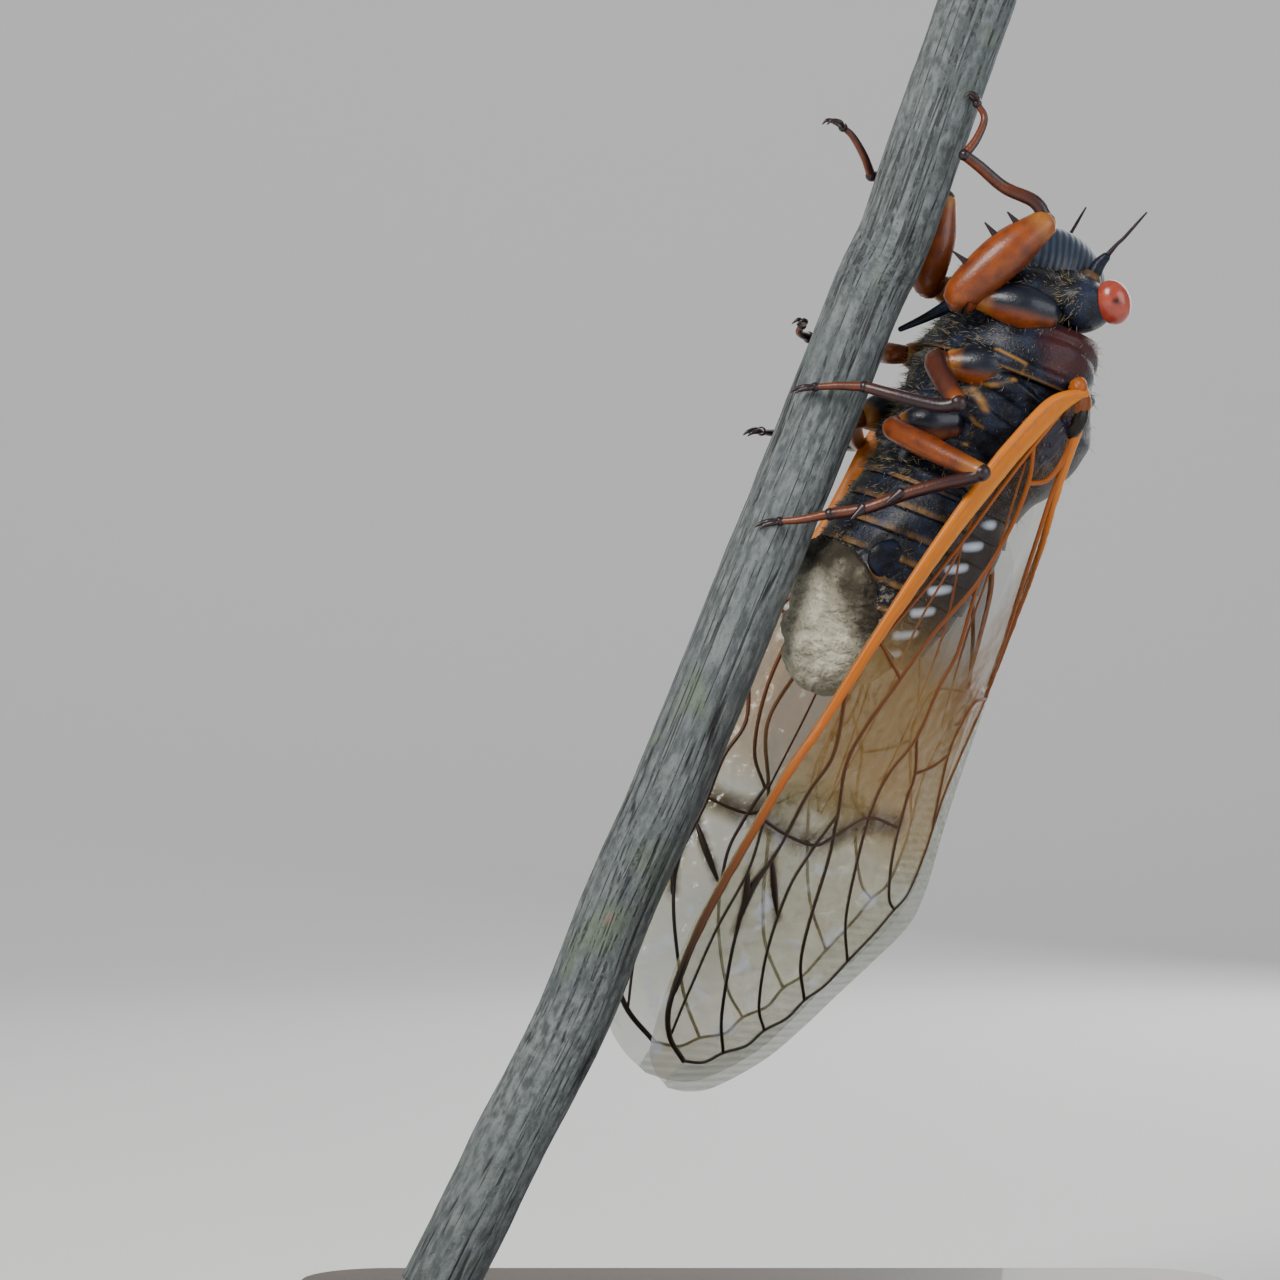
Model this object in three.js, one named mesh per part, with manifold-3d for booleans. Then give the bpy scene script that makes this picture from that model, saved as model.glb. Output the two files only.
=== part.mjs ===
// A periodical cicada, life size and still, gripping a cut length of twig
// that a short rod holds over a flat wooden base. Millimetres, +Z up, the
// viewer looks along +Y and +X is to the viewer's right.

import * as THREE from 'three';
import { mergeVertices } from 'three/addons/utils/BufferGeometryUtils.js';
import Module from 'manifold-3d';

const wasm = await Module();
wasm.setup();
const { Manifold, Mesh } = wasm;

// How the insect stands. Its own axes are f towards the head, l towards its
// left side and u towards its back.
const LEAN_DEG = 21.5;
const ROLL_DEG = 20;
const BODY_AT = [10.76, 1.5, 47.34];

// Clearance between neighbouring pieces.
const GAP = 0.3;

// Base, rod and twig.
const BASE = { x: 46, y: 38, z: 4, corner: 4, bevel: 0.8 };
const ROD = { x: -15.2, y: -1.2, radius: 0.8, top: 6.5 };
const TWIG_RADIUS = 1.68;
const TWIG_Y = -1.2;
const TWIG_LINE = [
  [-15.02, 5.66], [-11.67, 12.46], [-8.94, 17.83], [-6.79, 23.2], [-4.42, 28.56],
  [-1.15, 36.61], [1.6, 43.4], [4.17, 50.03], [5.42, 52.72], [7.3, 58.08], [9.18, 63.45],
  [9.54, 64.57],
];

// Trunk sections: [f, half width, top, bottom, height of the widest point].
const PRONOTUM = [
  [2.2, 3.7, 3.3, -2.7, 0.9], [1.7, 4.1, 3.55, -3.2, 0.8], [0.9, 4.3, 3.8, -3.5, 0.5],
  [0.2, 4.4, 3.9, -3.7, 0.4], [0.0, 4.6, 4.1, -3.8, 0.4], [-0.6, 4.6, 4.1, -3.8, 0.4],
];
const THORAX = [
  [-0.9, 4.3, 4.25, -3.9, 0.4], [-1.4, 4.3, 4.7, -4.0, 0.3], [-2.2, 4.2, 4.9, -4.1, 0.2],
  [-3.3, 4.1, 4.75, -4.2, 0.0], [-4.4, 3.95, 4.15, -4.2, -0.2], [-5.0, 3.85, 3.95, -4.2, -0.3],
  [-5.7, 3.8, 3.3, -4.2, -0.4], [-6.5, 3.7, 3.0, -4.2, -0.4],
];
const ABDOMEN = [
  [-6.8, 3.6, 2.7, -4.2, -0.6], [-7.9, 3.85, 2.75, -4.6, -0.7], [-9.0, 3.85, 2.6, -4.9, -0.9],
  [-10.1, 3.75, 2.4, -5.0, -1.2], [-11.2, 3.6, 2.1, -5.1, -1.4], [-12.3, 3.4, 1.7, -5.1, -1.6],
  [-13.4, 3.1, 1.2, -5.0, -1.8], [-14.7, 2.6, 0.6, -4.8, -2.0],
];
const SEGMENT_STEP = 0.12;
const PLUG = [
  [-10.3, 1.4, -4.0, -5.0], [-10.8, 2.6, -3.3, -5.3], [-11.6, 3.4, -2.5, -5.45],
  [-12.6, 3.5, -1.6, -5.5], [-13.6, 3.2, -0.8, -5.4], [-14.6, 2.9, -0.2, -5.3],
  [-15.4, 2.5, -0.4, -5.1], [-16.2, 1.9, -1.2, -4.7], [-16.8, 1.2, -2.0, -4.1],
  [-17.1, 0.6, -2.6, -3.5],
];

// Head.
const FACE = { at: [3.95, 0, 0.1], half: [2.25, 2.0, 2.7], ridges: 9, ridge: 0.07 };
const EYE = { at: [4.0, 4.15, 1.9], half: [0.8, 0.76, 1.02], turn: -51 };
const ANTENNA = [[5.0, 2.35, 1.3], [5.5, 2.4, 1.35], [6.0, 2.55, 1.5], [7.0, 2.9, 1.8], [8.4, 3.3, 2.2]];
const ANTENNA_RADII = [0.42, 0.4, 0.3, 0.24, 0.14];
const BEAK = [[2.6, 0, -3.1], [1.9, 0, -3.3], [0.6, 0, -4.4], [-0.5, 0, -5.5]];
const BEAK_RADII = [0.5, 0.42, 0.34, 0.24];

// Legs: joints from the coxa to the claws, with the radius at each joint.
const LEGS = {
  leg_fore_left: {
    coxa: [[2.5, 3.5, -0.4], [2.3, 3.1, -1.8], [2.0, 2.4, -3.5]], coxaRadii: [0.7, 1.0, 0.6],
    joints: [[2.0, 2.4, -3.6], [1.8, 2.4, -4.4], [4.2, 3.0, -3.3], [6.2, 3.4, -2.2],
      [6.8, 3.2, -3.0], [6.9, 2.7, -4.4], [7.3, 2.6, -5.8], [7.5, 2.6, -6.7], [8.4, 2.5, -6.4],
      [9.4, 2.2, -6.3], [9.9, 2.0, -6.8]],
    radii: [0.5, 0.75, 0.95, 0.5, 0.36, 0.3, 0.28, 0.28, 0.25, 0.25, 0.25],
    spines: [[[3.0, 2.7, -4.1], [3.3, 2.6, -5.1]], [[4.5, 3.0, -3.5], [5.0, 2.9, -4.4]],
      [[5.4, 3.2, -2.9], [5.8, 3.2, -3.7]]],
  },
  leg_mid_left: {
    coxa: [[-0.3, 2.9, -0.9], [-0.8, 2.8, -2.3], [-1.2, 2.4, -3.7]], coxaRadii: [0.8, 1.0, 0.6],
    joints: [[-1.2, 2.4, -3.8], [-1.4, 2.6, -4.4], [-2.2, 4.4, -4.4], [-3.0, 6.1, -4.1],
      [-3.4, 5.6, -4.7], [-3.6, 3.8, -6.2], [-3.7, 2.9, -7.2], [-4.1, 2.35, -8.2], [-4.5, 1.9, -9.0]],
    radii: [0.5, 0.52, 0.5, 0.42, 0.32, 0.3, 0.28, 0.26, 0.25],
  },
  leg_hind_left: {
    coxa: [[-3.6, 2.8, -2.6], [-4.1, 2.7, -3.8], [-4.6, 2.3, -4.6]], coxaRadii: [0.8, 0.9, 0.6],
    joints: [[-4.6, 2.3, -4.6], [-4.9, 2.6, -5.0], [-5.2, 4.8, -4.0], [-5.5, 7.4, -2.4],
      [-5.9, 7.1, -2.7], [-6.6, 5.9, -3.4], [-7.5, 4.8, -4.3], [-8.7, 3.8, -5.4], [-9.5, 3.1, -6.6],
      [-10.2, 2.6, -7.6], [-10.6, 2.1, -8.3]],
    radii: [0.5, 0.55, 0.55, 0.42, 0.34, 0.3, 0.3, 0.28, 0.27, 0.26, 0.25],
    spines: [[[-7.5, 4.8, -4.5], [-8.2, 4.8, -5.0]], [[-8.7, 3.8, -5.5], [-9.4, 3.9, -5.9]]],
  },
  leg_fore_right: {
    coxa: [[2.5, -3.5, -0.4], [2.4, -3.1, -1.8], [2.2, -2.4, -3.5]], coxaRadii: [0.7, 1.0, 0.6],
    joints: [[2.2, -2.4, -3.6], [2.3, -2.3, -4.2], [4.2, -2.6, -4.4], [6.1, -2.8, -4.6],
      [6.3, -2.7, -5.3], [5.9, -2.6, -7.0], [5.6, -2.3, -8.6], [6.2, -1.9, -9.4],
      [6.8, -1.8, -10.3], [7.0, -1.8, -10.9]],
    radii: [0.5, 0.75, 0.9, 0.5, 0.34, 0.3, 0.28, 0.26, 0.25, 0.25],
    spines: [[[3.0, -2.4, -4.6], [3.3, -2.4, -5.5]], [[4.6, -2.7, -4.8], [5.1, -2.7, -5.7]]],
  },
  leg_mid_right: {
    coxa: [[-0.3, -2.9, -0.9], [-0.8, -2.8, -2.3], [-1.2, -2.4, -3.7]], coxaRadii: [0.8, 1.0, 0.6],
    joints: [[-1.2, -2.4, -3.8], [-1.4, -2.7, -4.4], [-1.4, -4.4, -4.3], [-1.6, -5.6, -4.2],
      [-1.7, -5.3, -4.8], [-1.9, -4.0, -6.4], [-2.2, -2.7, -8.4], [-2.2, -2.2, -9.1],
      [-1.9, -1.7, -9.3]],
    radii: [0.5, 0.52, 0.5, 0.42, 0.32, 0.3, 0.28, 0.26, 0.25],
  },
  leg_hind_right: {
    coxa: [[-3.6, -2.8, -2.6], [-4.1, -2.7, -3.8], [-4.6, -2.3, -4.6]], coxaRadii: [0.8, 0.9, 0.6],
    joints: [[-4.6, -2.3, -4.6], [-4.9, -2.6, -5.0], [-5.2, -4.8, -4.0], [-5.5, -7.3, -2.5],
      [-5.7, -7.0, -2.9], [-6.1, -5.4, -4.6], [-6.4, -3.6, -6.8], [-6.7, -2.7, -8.0],
      [-6.9, -2.2, -8.7], [-7.0, -1.8, -9.2]],
    radii: [0.5, 0.55, 0.55, 0.42, 0.34, 0.3, 0.28, 0.27, 0.26, 0.25],
    spines: [[[-6.2, -4.8, -5.4], [-6.9, -4.9, -5.8]], [[-6.4, -3.6, -7.0], [-7.1, -3.8, -7.3]]],
  },
};

// Wings lie as one curved roof. A point is p along the wing from the hinge
// and q across it from the hinge towards the hind margin.
const HINGE = [0, 5.0, 2.0];
const ALONG = [-0.98526, -0.00324, -0.17102];
const ACROSS = [-0.15318, -0.42819, 0.89061];
const OUTWARD = [-0.07612, 0.90368, 0.42138];
const TIP_DROOP = 2.2;
const WING_LENGTH = 35;
const ROOF_CURVE = 0.15;
const HINDWING_INSET = 1.05;
const HINGE_KNUCKLE = { at: [-0.9, 4.4, 1.9], half: [0.9, 0.75, 0.7] };
const MEMBRANE = 0.5;
const VEIN_RISE = 0.22;
const FORE_OUTLINE = [
  [0, -0.3], [1.6, -1.9], [4.1, -2.8], [5.9, -3.2], [10.2, -3.7], [14.9, -4.0], [19.2, -4.0],
  [22.2, -4.1], [27.2, -3.6], [30.1, -3.0], [32.8, -1.8], [35.0, -0.4], [36.1, 1.2], [36.2, 3.5],
  [35.2, 4.8], [33.0, 6.2], [30.8, 6.9], [28.8, 7.4], [26.5, 8.1], [24.7, 8.6], [22.5, 8.6],
  [20, 8.0], [18, 7.6], [16, 7.3], [14, 7.0], [12, 6.7], [10, 6.4], [8, 5.7], [6.8, 4.5],
  [5.6, 3.1], [4.2, 2.0], [2.6, 1.3], [1, 0.8], [0, 0.6],
];
const FORE_VEINS = [
  { width: 0.8, line: [[0.3, 0.0], [1.6, -1.5], [4.1, -2.4], [5.9, -2.75], [10.2, -3.25],
    [14.9, -3.6], [19.2, -3.6], [22.2, -3.75], [27.2, -3.2], [30.1, -2.5], [32.8, -1.2],
    [34.2, 0.2], [34.9, 2.0]] },
  { width: 1.2, line: [[0.4, -0.1], [1.6, -1.3], [4.1, -2.2], [5.9, -2.6], [8.5, -2.95]] },
  { width: 0.3, line: [[34.9, 2.0], [34.5, 3.1], [33.7, 3.7], [32.9, 4.6], [31.9, 4.9], [30.9, 5.6],
    [29.8, 5.8], [28.8, 6.3], [27.3, 6.6], [25.5, 7.0], [24.2, 7.2], [23.2, 7.5], [21.4, 7.3],
    [20.2, 7.0], [18.2, 6.5], [16, 6.4], [13.8, 6.5]] },
  { width: 0.55, line: [[1.2, -1.2], [3.6, -1.3], [5.9, -1.7], [8.1, -2.0], [10, -2.3], [12.2, -2.7],
    [14.7, -3.3]] },
  { width: 0.4, line: [[3.6, -1.3], [5.1, -0.3], [7.3, 0.2], [10, 0.2], [13.1, -0.6], [15.5, -0.9],
    [19.4, -1.1], [22, 0.4], [23.8, 1.5], [26.7, 2.9], [28.5, 4.1], [29.8, 5.8]] },
  { width: 0.4, line: [[1.0, 0.0], [3, 0.9], [4.4, 0.7], [5.1, -0.3]] },
  { width: 0.35, line: [[10, 0.2], [11.4, 0.8], [13.2, 1.5], [14.8, 1.6], [17.2, 2.1], [19.2, 1.8],
    [20.9, 2.1], [23.2, 3.2], [25.7, 4.8], [27.3, 6.6]] },
  { width: 0.35, line: [[17.2, 2.1], [18.6, 3.4], [19.8, 3.9], [22.1, 5.1], [23.8, 6.4], [24.2, 7.2]] },
  { width: 0.4, line: [[0.8, 0.2], [2.6, 0.7], [5.2, 1.7], [8.5, 3.4], [11.4, 5.3], [13.8, 6.5]] },
  { width: 0.35, line: [[13.8, 6.5], [14.4, 5.0], [15.8, 4.8], [17, 5.1], [18.7, 6.1], [20.2, 7.0]] },
  { width: 0.35, line: [[14.7, -3.3], [15.5, -0.9]] },
  { width: 0.35, line: [[17.3, -3.5], [19.9, -2.0], [22, -2.0], [24.5, -1.6], [27, -1.4],
    [28.5, -0.8], [30.2, 0.3], [32.4, 2.1], [33.7, 3.7]] },
  { width: 0.3, line: [[24, -3.4], [26.2, -2.4], [29.2, -1.8], [32.2, -0.7], [34.2, 0.2]] },
  { width: 0.35, line: [[22, 0.4], [24.1, 0.3], [26, 0.5], [28.7, 1.7], [31, 3.5], [31.9, 4.9]] },
  { width: 0.3, line: [[24, -1.6], [23.7, 0.3], [22.8, 1.1], [21.4, 2.2], [21, 4.4]] },
  { width: 0.3, line: [[18.6, 3.4], [17.0, 5.1]] },
  { width: 0.5, line: [[26.2, -2.4], [28.5, -0.8]] },
  { width: 0.5, line: [[25.4, -1.5], [27.2, 0.9]] },
];
const HIND_OUTLINE = [
  [3.4, -1.2], [6, -2.1], [10, -2.6], [14, -2.6], [18, -2.2], [21, -1.2], [22.6, 0.2], [22.9, 1.8],
  [21.8, 3.6], [19.5, 5.0], [16.5, 5.3], [13.5, 4.6], [11, 4.3], [8.5, 3.9], [6, 2.8], [4, 1.0],
];
const HIND_VEINS = [
  { width: 0.5, line: [[3.6, -0.9], [6, -1.75], [10, -2.25], [14, -2.25], [18, -1.9], [21, -0.9],
    [22.3, 0.4]] },
  { width: 0.35, line: [[6, -1.75], [9, -0.8], [13, -0.6], [17, 0.2], [22.3, 0.6]] },
  { width: 0.35, line: [[9, -0.8], [12, 0.9], [16, 2.2], [21.5, 3.3]] },
  { width: 0.35, line: [[4.2, 0], [8, 1.4], [12, 2.8], [16, 4.9]] },
];

const SHELL = { color: 0x15171f, roughness: 0.35, metalness: 0 };
const AMBER = { color: 0xb4500f, roughness: 0.35, metalness: 0 };
const VEINED = { color: 0x8a5a26, roughness: 0.3, metalness: 0 };

const rad = (deg) => (deg * Math.PI) / 180;
const add = (a, b, s = 1) => a.map((v, i) => v + b[i] * s);
const norm = (a) => a.map((v) => v / Math.hypot(...a));
const cross = (a, b) => [
  a[1] * b[2] - a[2] * b[1],
  a[2] * b[0] - a[0] * b[2],
  a[0] * b[1] - a[1] * b[0],
];
const mirrored = (points) => points.map(([f, l, u]) => [f, -l, u]);

// The insect's axes as seen from the floor.
const forward = [Math.sin(rad(LEAN_DEG)), 0, Math.cos(rad(LEAN_DEG))];
const awayFromTwig = [Math.cos(rad(LEAN_DEG)), 0, -Math.sin(rad(LEAN_DEG))];
const leftward = add([0, -Math.cos(rad(ROLL_DEG)), 0], awayFromTwig, Math.sin(rad(ROLL_DEG)));
const backward = add([0, Math.sin(rad(ROLL_DEG)), 0], awayFromTwig, Math.cos(rad(ROLL_DEG)));
const toRow = ([f, l, u]) => add(add(add(BODY_AT, forward, f), leftward, l), backward, u);
const dot = (a, b) => a[0] * b[0] + a[1] * b[1] + a[2] * b[2];
const toBody = (p) => {
  const d = add(p, BODY_AT, -1);
  return [dot(d, forward), dot(d, leftward), dot(d, backward)];
};

function solid(points, faces) {
  const flat = points.flat();
  let volume = 0;
  for (const [a, b, c] of faces) {
    volume += dot(points[a], cross(points[b], points[c]));
  }
  const tris = volume > 0 ? faces : faces.map(([a, b, c]) => [a, c, b]);
  return new Manifold(new Mesh({
    numProp: 3,
    vertProperties: new Float32Array(flat),
    triVerts: new Uint32Array(tris.flat()),
  }));
}

// A skin through closed rings of equal count, closed by a fan at each end.
function loft(rings) {
  const n = rings[0].length;
  const points = rings.flat();
  const faces = [];
  for (let r = 0; r + 1 < rings.length; r++) {
    for (let i = 0; i < n; i++) {
      const j = (i + 1) % n;
      const a = r * n + i;
      const b = r * n + j;
      faces.push([a, b, b + n], [a, b + n, a + n]);
    }
  }
  for (const [first, way] of [[0, -1], [(rings.length - 1) * n, 1]]) {
    const ring = points.slice(first, first + n);
    const middle = ring.reduce((sum, p) => add(sum, p), [0, 0, 0]).map((v) => v / n);
    points.push(middle);
    for (let i = 0; i < n; i++) {
      const j = (i + 1) % n;
      const pair = way > 0 ? [first + i, first + j] : [first + j, first + i];
      faces.push([points.length - 1, ...pair]);
    }
  }
  return solid(points, faces);
}

// An oval section across the trunk, grown all round by g.
function section([f, half, top, bottom, widest], n, g = 0, at = f) {
  const middle = widest ?? (top + bottom) / 2;
  return Array.from({ length: n }, (_, i) => {
    const t = (2 * Math.PI * i) / n;
    const rise = Math.sin(t) > 0 ? top - middle + g : middle - bottom + g;
    return [at, (half + g) * Math.cos(t), middle + rise * Math.sin(t)];
  });
}

function trunk(sections, n, g = 0) {
  const last = sections.length - 1;
  return loft(sections.map((s, i) => {
    const at = i === 0 ? s[0] + g : i === last ? s[0] - g : s[0];
    return section(s, n, g, at);
  }));
}

// An egg shape, turned by so many degrees about the left to right axis.
function ellipsoid(at, half, n = 14, rows = 9, ripple = () => 0, turn = 0) {
  const rings = [];
  const [c, s] = [Math.cos(rad(turn)), Math.sin(rad(turn))];
  for (let r = 0; r < rows; r++) {
    const t = -Math.PI / 2 + (Math.PI * (r + 0.35)) / (rows - 0.3);
    const wide = Math.cos(t) * (1 + ripple(r));
    rings.push(Array.from({ length: n }, (_, i) => {
      const a = (2 * Math.PI * i) / n;
      const x = half[0] * wide * Math.cos(a);
      const z = half[2] * Math.sin(t);
      return [at[0] + x * c + z * s, at[1] + half[1] * wide * Math.sin(a), at[2] - x * s + z * c];
    }));
  }
  return loft(rings);
}

// A round limb along a line of joints, with a small dome at each end.
function limb(line, radii, n = 8, g = 0) {
  const rings = [];
  let side = null;
  const ring = (at, r, along) => {
    const start = side ?? (Math.abs(along[1]) < 0.8 ? [0, 1, 0] : [1, 0, 0]);
    side = norm(add(start, along, -dot(start, along)));
    const other = cross(along, side);
    rings.push(Array.from({ length: n }, (_, i) => {
      const a = (2 * Math.PI * i) / n;
      return add(add(at, side, r * Math.cos(a)), other, r * Math.sin(a));
    }));
  };
  line.forEach((at, i) => {
    const before = i ? norm(add(at, line[i - 1], -1)) : norm(add(line[1], at, -1));
    const after = i + 1 < line.length ? norm(add(line[i + 1], at, -1)) : before;
    const along = norm(add(before, after));
    const r = radii[i] + g;
    if (i === 0) {
      ring(add(at, along, -0.5 * r), 0.6 * r, along);
    }
    ring(at, r, along);
    if (i + 1 === line.length) {
      ring(add(at, along, 0.5 * r), 0.6 * r, along);
    }
  });
  return loft(rings);
}

const fuse = (...parts) => parts.reduce((a, b) => a.add(b));
const cut = (from, ...away) => away.reduce((a, b) => a.subtract(b), from);
const largest = (m) => m.decompose().sort((a, b) => b.volume() - a.volume())[0];

// Trunk pieces, with a grown copy of each that clears its neighbours.
const thorax = trunk(THORAX, 26);
const pronotum = trunk(PRONOTUM, 26);
const stepped = ABDOMEN.slice(0, -1).flatMap((s, i) => {
  const next = ABDOMEN[i + 1];
  const edge = [next[0] + 0.12, next[1] + SEGMENT_STEP, next[2] + SEGMENT_STEP,
    next[3] - SEGMENT_STEP, next[4]];
  return [s, edge];
});
stepped.push(ABDOMEN[ABDOMEN.length - 1]);
const plug = trunk(PLUG, 18);
const abdomen = cut(trunk(stepped, 24), trunk(PLUG, 18, GAP));

// Twig, in the insect's axes, with shallow bark furrows.
function twigSolid(g = 0) {
  const line = TWIG_LINE.map(([x, z]) => [x, TWIG_Y, z]);
  const n = 20;
  return loft(line.map((at, i) => {
    const before = line[Math.max(i - 1, 0)];
    const after = line[Math.min(i + 1, line.length - 1)];
    const along = norm(add(after, before, -1));
    const depth = [0, 1, 0];
    const across = cross(depth, along);
    const ends = i === 0 ? -g : i === line.length - 1 ? g : 0;
    return Array.from({ length: n }, (_, k) => {
      const a = (2 * Math.PI * k) / n;
      const bark = 0.03 * Math.sin(5 * a + i) + 0.03 * Math.sin(3 * a - 2 * i);
      const r = TWIG_RADIUS + g + bark;
      const p = add(add(add(at, along, ends), depth, r * Math.cos(a)), across, r * Math.sin(a));
      return toBody(p);
    });
  }));
}
const twig = twigSolid();
const twigClear = twigSolid(GAP);

// Head with ridged face, cheeks, lower face and three simple eyes.
function eyeball(side, g = 0) {
  const half = EYE.half.map((v) => v + g);
  return ellipsoid([EYE.at[0], side * EYE.at[1], EYE.at[2]], half, 12, 8, () => 0, EYE.turn);
}
function headSolid() {
  const crown = loft([-3.9, -3.2, -2, -1, 0, 1, 2, 3.2, 3.9].map((l) => {
    const reach = Math.sqrt(1 - (l / 4.6) ** 2);
    return Array.from({ length: 16 }, (_, i) => {
      const a = (2 * Math.PI * i) / 16;
      return [3.55 + 1.45 * reach * Math.cos(a), l, 0.9 + (1.0 + 0.95 * reach) * Math.sin(a)];
    });
  }));
  const ripple = (r) => (r % 2 ? FACE.ridge * 0.5 : -FACE.ridge * 0.5);
  const face = ellipsoid(FACE.at, FACE.half, 18, 2 * FACE.ridges + 1, ripple);
  const cheeks = [1, -1].map((s) => ellipsoid([3.2, s * 2.2, -0.7], [1.2, 1.5, 2.0], 12, 8));
  const lower = limb([[3.9, 0, -2.2], [2.9, 0, -3.0]], [1.0, 0.7], 12);
  const neck = limb([[3.6, 0, 0], [2.6, 0, 0]], [2.3, 2.3], 16);
  const ocelli = [[4.5, 0, 2.55], [4.0, 0.55, 2.75], [4.0, -0.55, 2.75]].map((at) =>
    ellipsoid(at, [0.26, 0.26, 0.26], 8, 6));
  const sockets = [1, -1].map((s) =>
    limb([[4.2, s * 2.2, 1.1], [4.9, s * 2.35, 1.3]], [0.62, 0.56], 10));
  return fuse(crown, face, ...cheeks, lower, neck, ...ocelli, ...sockets);
}
const antenna = (side, g = 0) => {
  const line = side > 0 ? ANTENNA : mirrored(ANTENNA);
  return limb(line, ANTENNA_RADII, 8, g);
};
const beak = (g = 0) => limb(BEAK, BEAK_RADII, 8, g);
const head = cut(headSolid(), eyeball(1, GAP), eyeball(-1, GAP), antenna(1, GAP), antenna(-1, GAP),
  beak(GAP), trunk(PRONOTUM, 26, GAP));

// Legs, cleared of the trunk, the head and the twig.
function legSolid({ coxa, coxaRadii, joints, radii, spines = [] }, g = 0) {
  const thorns = spines.map((line) => limb(line, [0.2 + g, 0.06 + g], 6));
  return fuse(limb(coxa, coxaRadii, 10, g), limb(joints, radii, 8, g), ...thorns);
}
const trunkClear = fuse(trunk(PRONOTUM, 26, GAP), trunk(THORAX, 26, GAP), trunk(stepped, 24, GAP));
const headClear = fuse(
  ellipsoid(FACE.at, FACE.half.map((v) => v + GAP + 0.1), 22, 15),
  ...[1, -1].map((s) => ellipsoid([3.2, s * 2.2, -0.7], [1.5, 1.8, 2.3], 12, 8)),
  limb([[3.9, 0, -2.2], [2.9, 0, -3.0]], [1.3, 1.0], 12),
);

// Wings.
function roof(p, q, inset) {
  const droop = TIP_DROOP * (Math.max(p, 0) / WING_LENGTH) ** 4;
  const curve = ROOF_CURVE * Math.min(Math.max((24 - p) / 16, 0), 1);
  const start = 0.08 * p;
  const past = Math.max(q - start, 0);
  const bent = curve * past > 1e-6;
  const run = bent ? start + Math.sin(curve * past) / curve : q;
  const fall = bent ? (1 - Math.cos(curve * past)) / curve : 0;
  const base = add(add(HINGE, ALONG, p), ACROSS, run);
  return add(base, OUTWARD, -fall - droop - inset);
}
function onWing(p, q, h, inset, side) {
  const e = 0.01;
  const at = roof(p, q, inset);
  const dp = add(roof(p + e, q, inset), at, -1);
  const dq = add(roof(p, q + e, inset), at, -1);
  const out = norm(cross(dq, dp));
  const flip = dot(out, OUTWARD) < 0 ? -1 : 1;
  const [f, l, u] = add(at, out, h * flip);
  return [f, side * l, u];
}
// A raised strip along a vein, on the upper half of the flat wing.
function veinStrip({ line, width }, rise) {
  return loft(line.map(([p, q], i) => {
    const a = line[Math.max(i - 1, 0)];
    const b = line[Math.min(i + 1, line.length - 1)];
    const d = Math.hypot(b[0] - a[0], b[1] - a[1]);
    const side = [-(b[1] - a[1]) / d, (b[0] - a[0]) / d];
    return [[0.5, 0], [0, rise], [-0.5, 0]].map(([s, h]) =>
      [p + side[0] * s * width, q + side[1] * s * width, h]);
  }));
}
function extruded(outline, depth) {
  const shape = new THREE.Shape(outline.map(([x, y]) => new THREE.Vector2(x, y)));
  const raw = new THREE.ExtrudeGeometry(shape, { depth, bevelEnabled: false });
  raw.deleteAttribute('normal');
  raw.deleteAttribute('uv');
  const g = mergeVertices(raw, 1e-4);
  const pos = g.getAttribute('position');
  const points = Array.from({ length: pos.count }, (_, i) => [pos.getX(i), pos.getY(i), pos.getZ(i)]);
  const idx = Array.from(g.getIndex().array);
  const faces = Array.from({ length: idx.length / 3 }, (_, i) => idx.slice(3 * i, 3 * i + 3));
  return solid(points, faces);
}
// Halves every edge longer than the limit, alike in both triangles beside it.
function halveLong(points, faces, limit) {
  const middles = new Map();
  const middle = (a, b) => {
    const d = Math.hypot(points[a][0] - points[b][0], points[a][1] - points[b][1]);
    if (d < limit) {
      return -1;
    }
    const key = a < b ? `${a}_${b}` : `${b}_${a}`;
    if (!middles.has(key)) {
      points.push(points[a].map((v, i) => (v + points[b][i]) / 2));
      middles.set(key, points.length - 1);
    }
    return middles.get(key);
  };
  return faces.flatMap(([a, b, c]) => {
    const [x, y, z] = [middle(a, b), middle(b, c), middle(c, a)];
    const hits = [x, y, z].filter((v) => v >= 0).length;
    if (hits === 0) {
      return [[a, b, c]];
    }
    if (hits === 3) {
      return [[a, x, z], [x, b, y], [z, y, c], [x, y, z]];
    }
    if (hits === 1) {
      if (x >= 0) return [[a, x, c], [x, b, c]];
      if (y >= 0) return [[a, b, y], [a, y, c]];
      return [[a, b, z], [z, b, c]];
    }
    if (x < 0) return [[a, b, y], [a, y, z], [z, y, c]];
    if (y < 0) return [[a, x, z], [x, b, z], [z, b, c]];
    return [[a, x, c], [x, y, c], [x, b, y]];
  });
}
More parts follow.
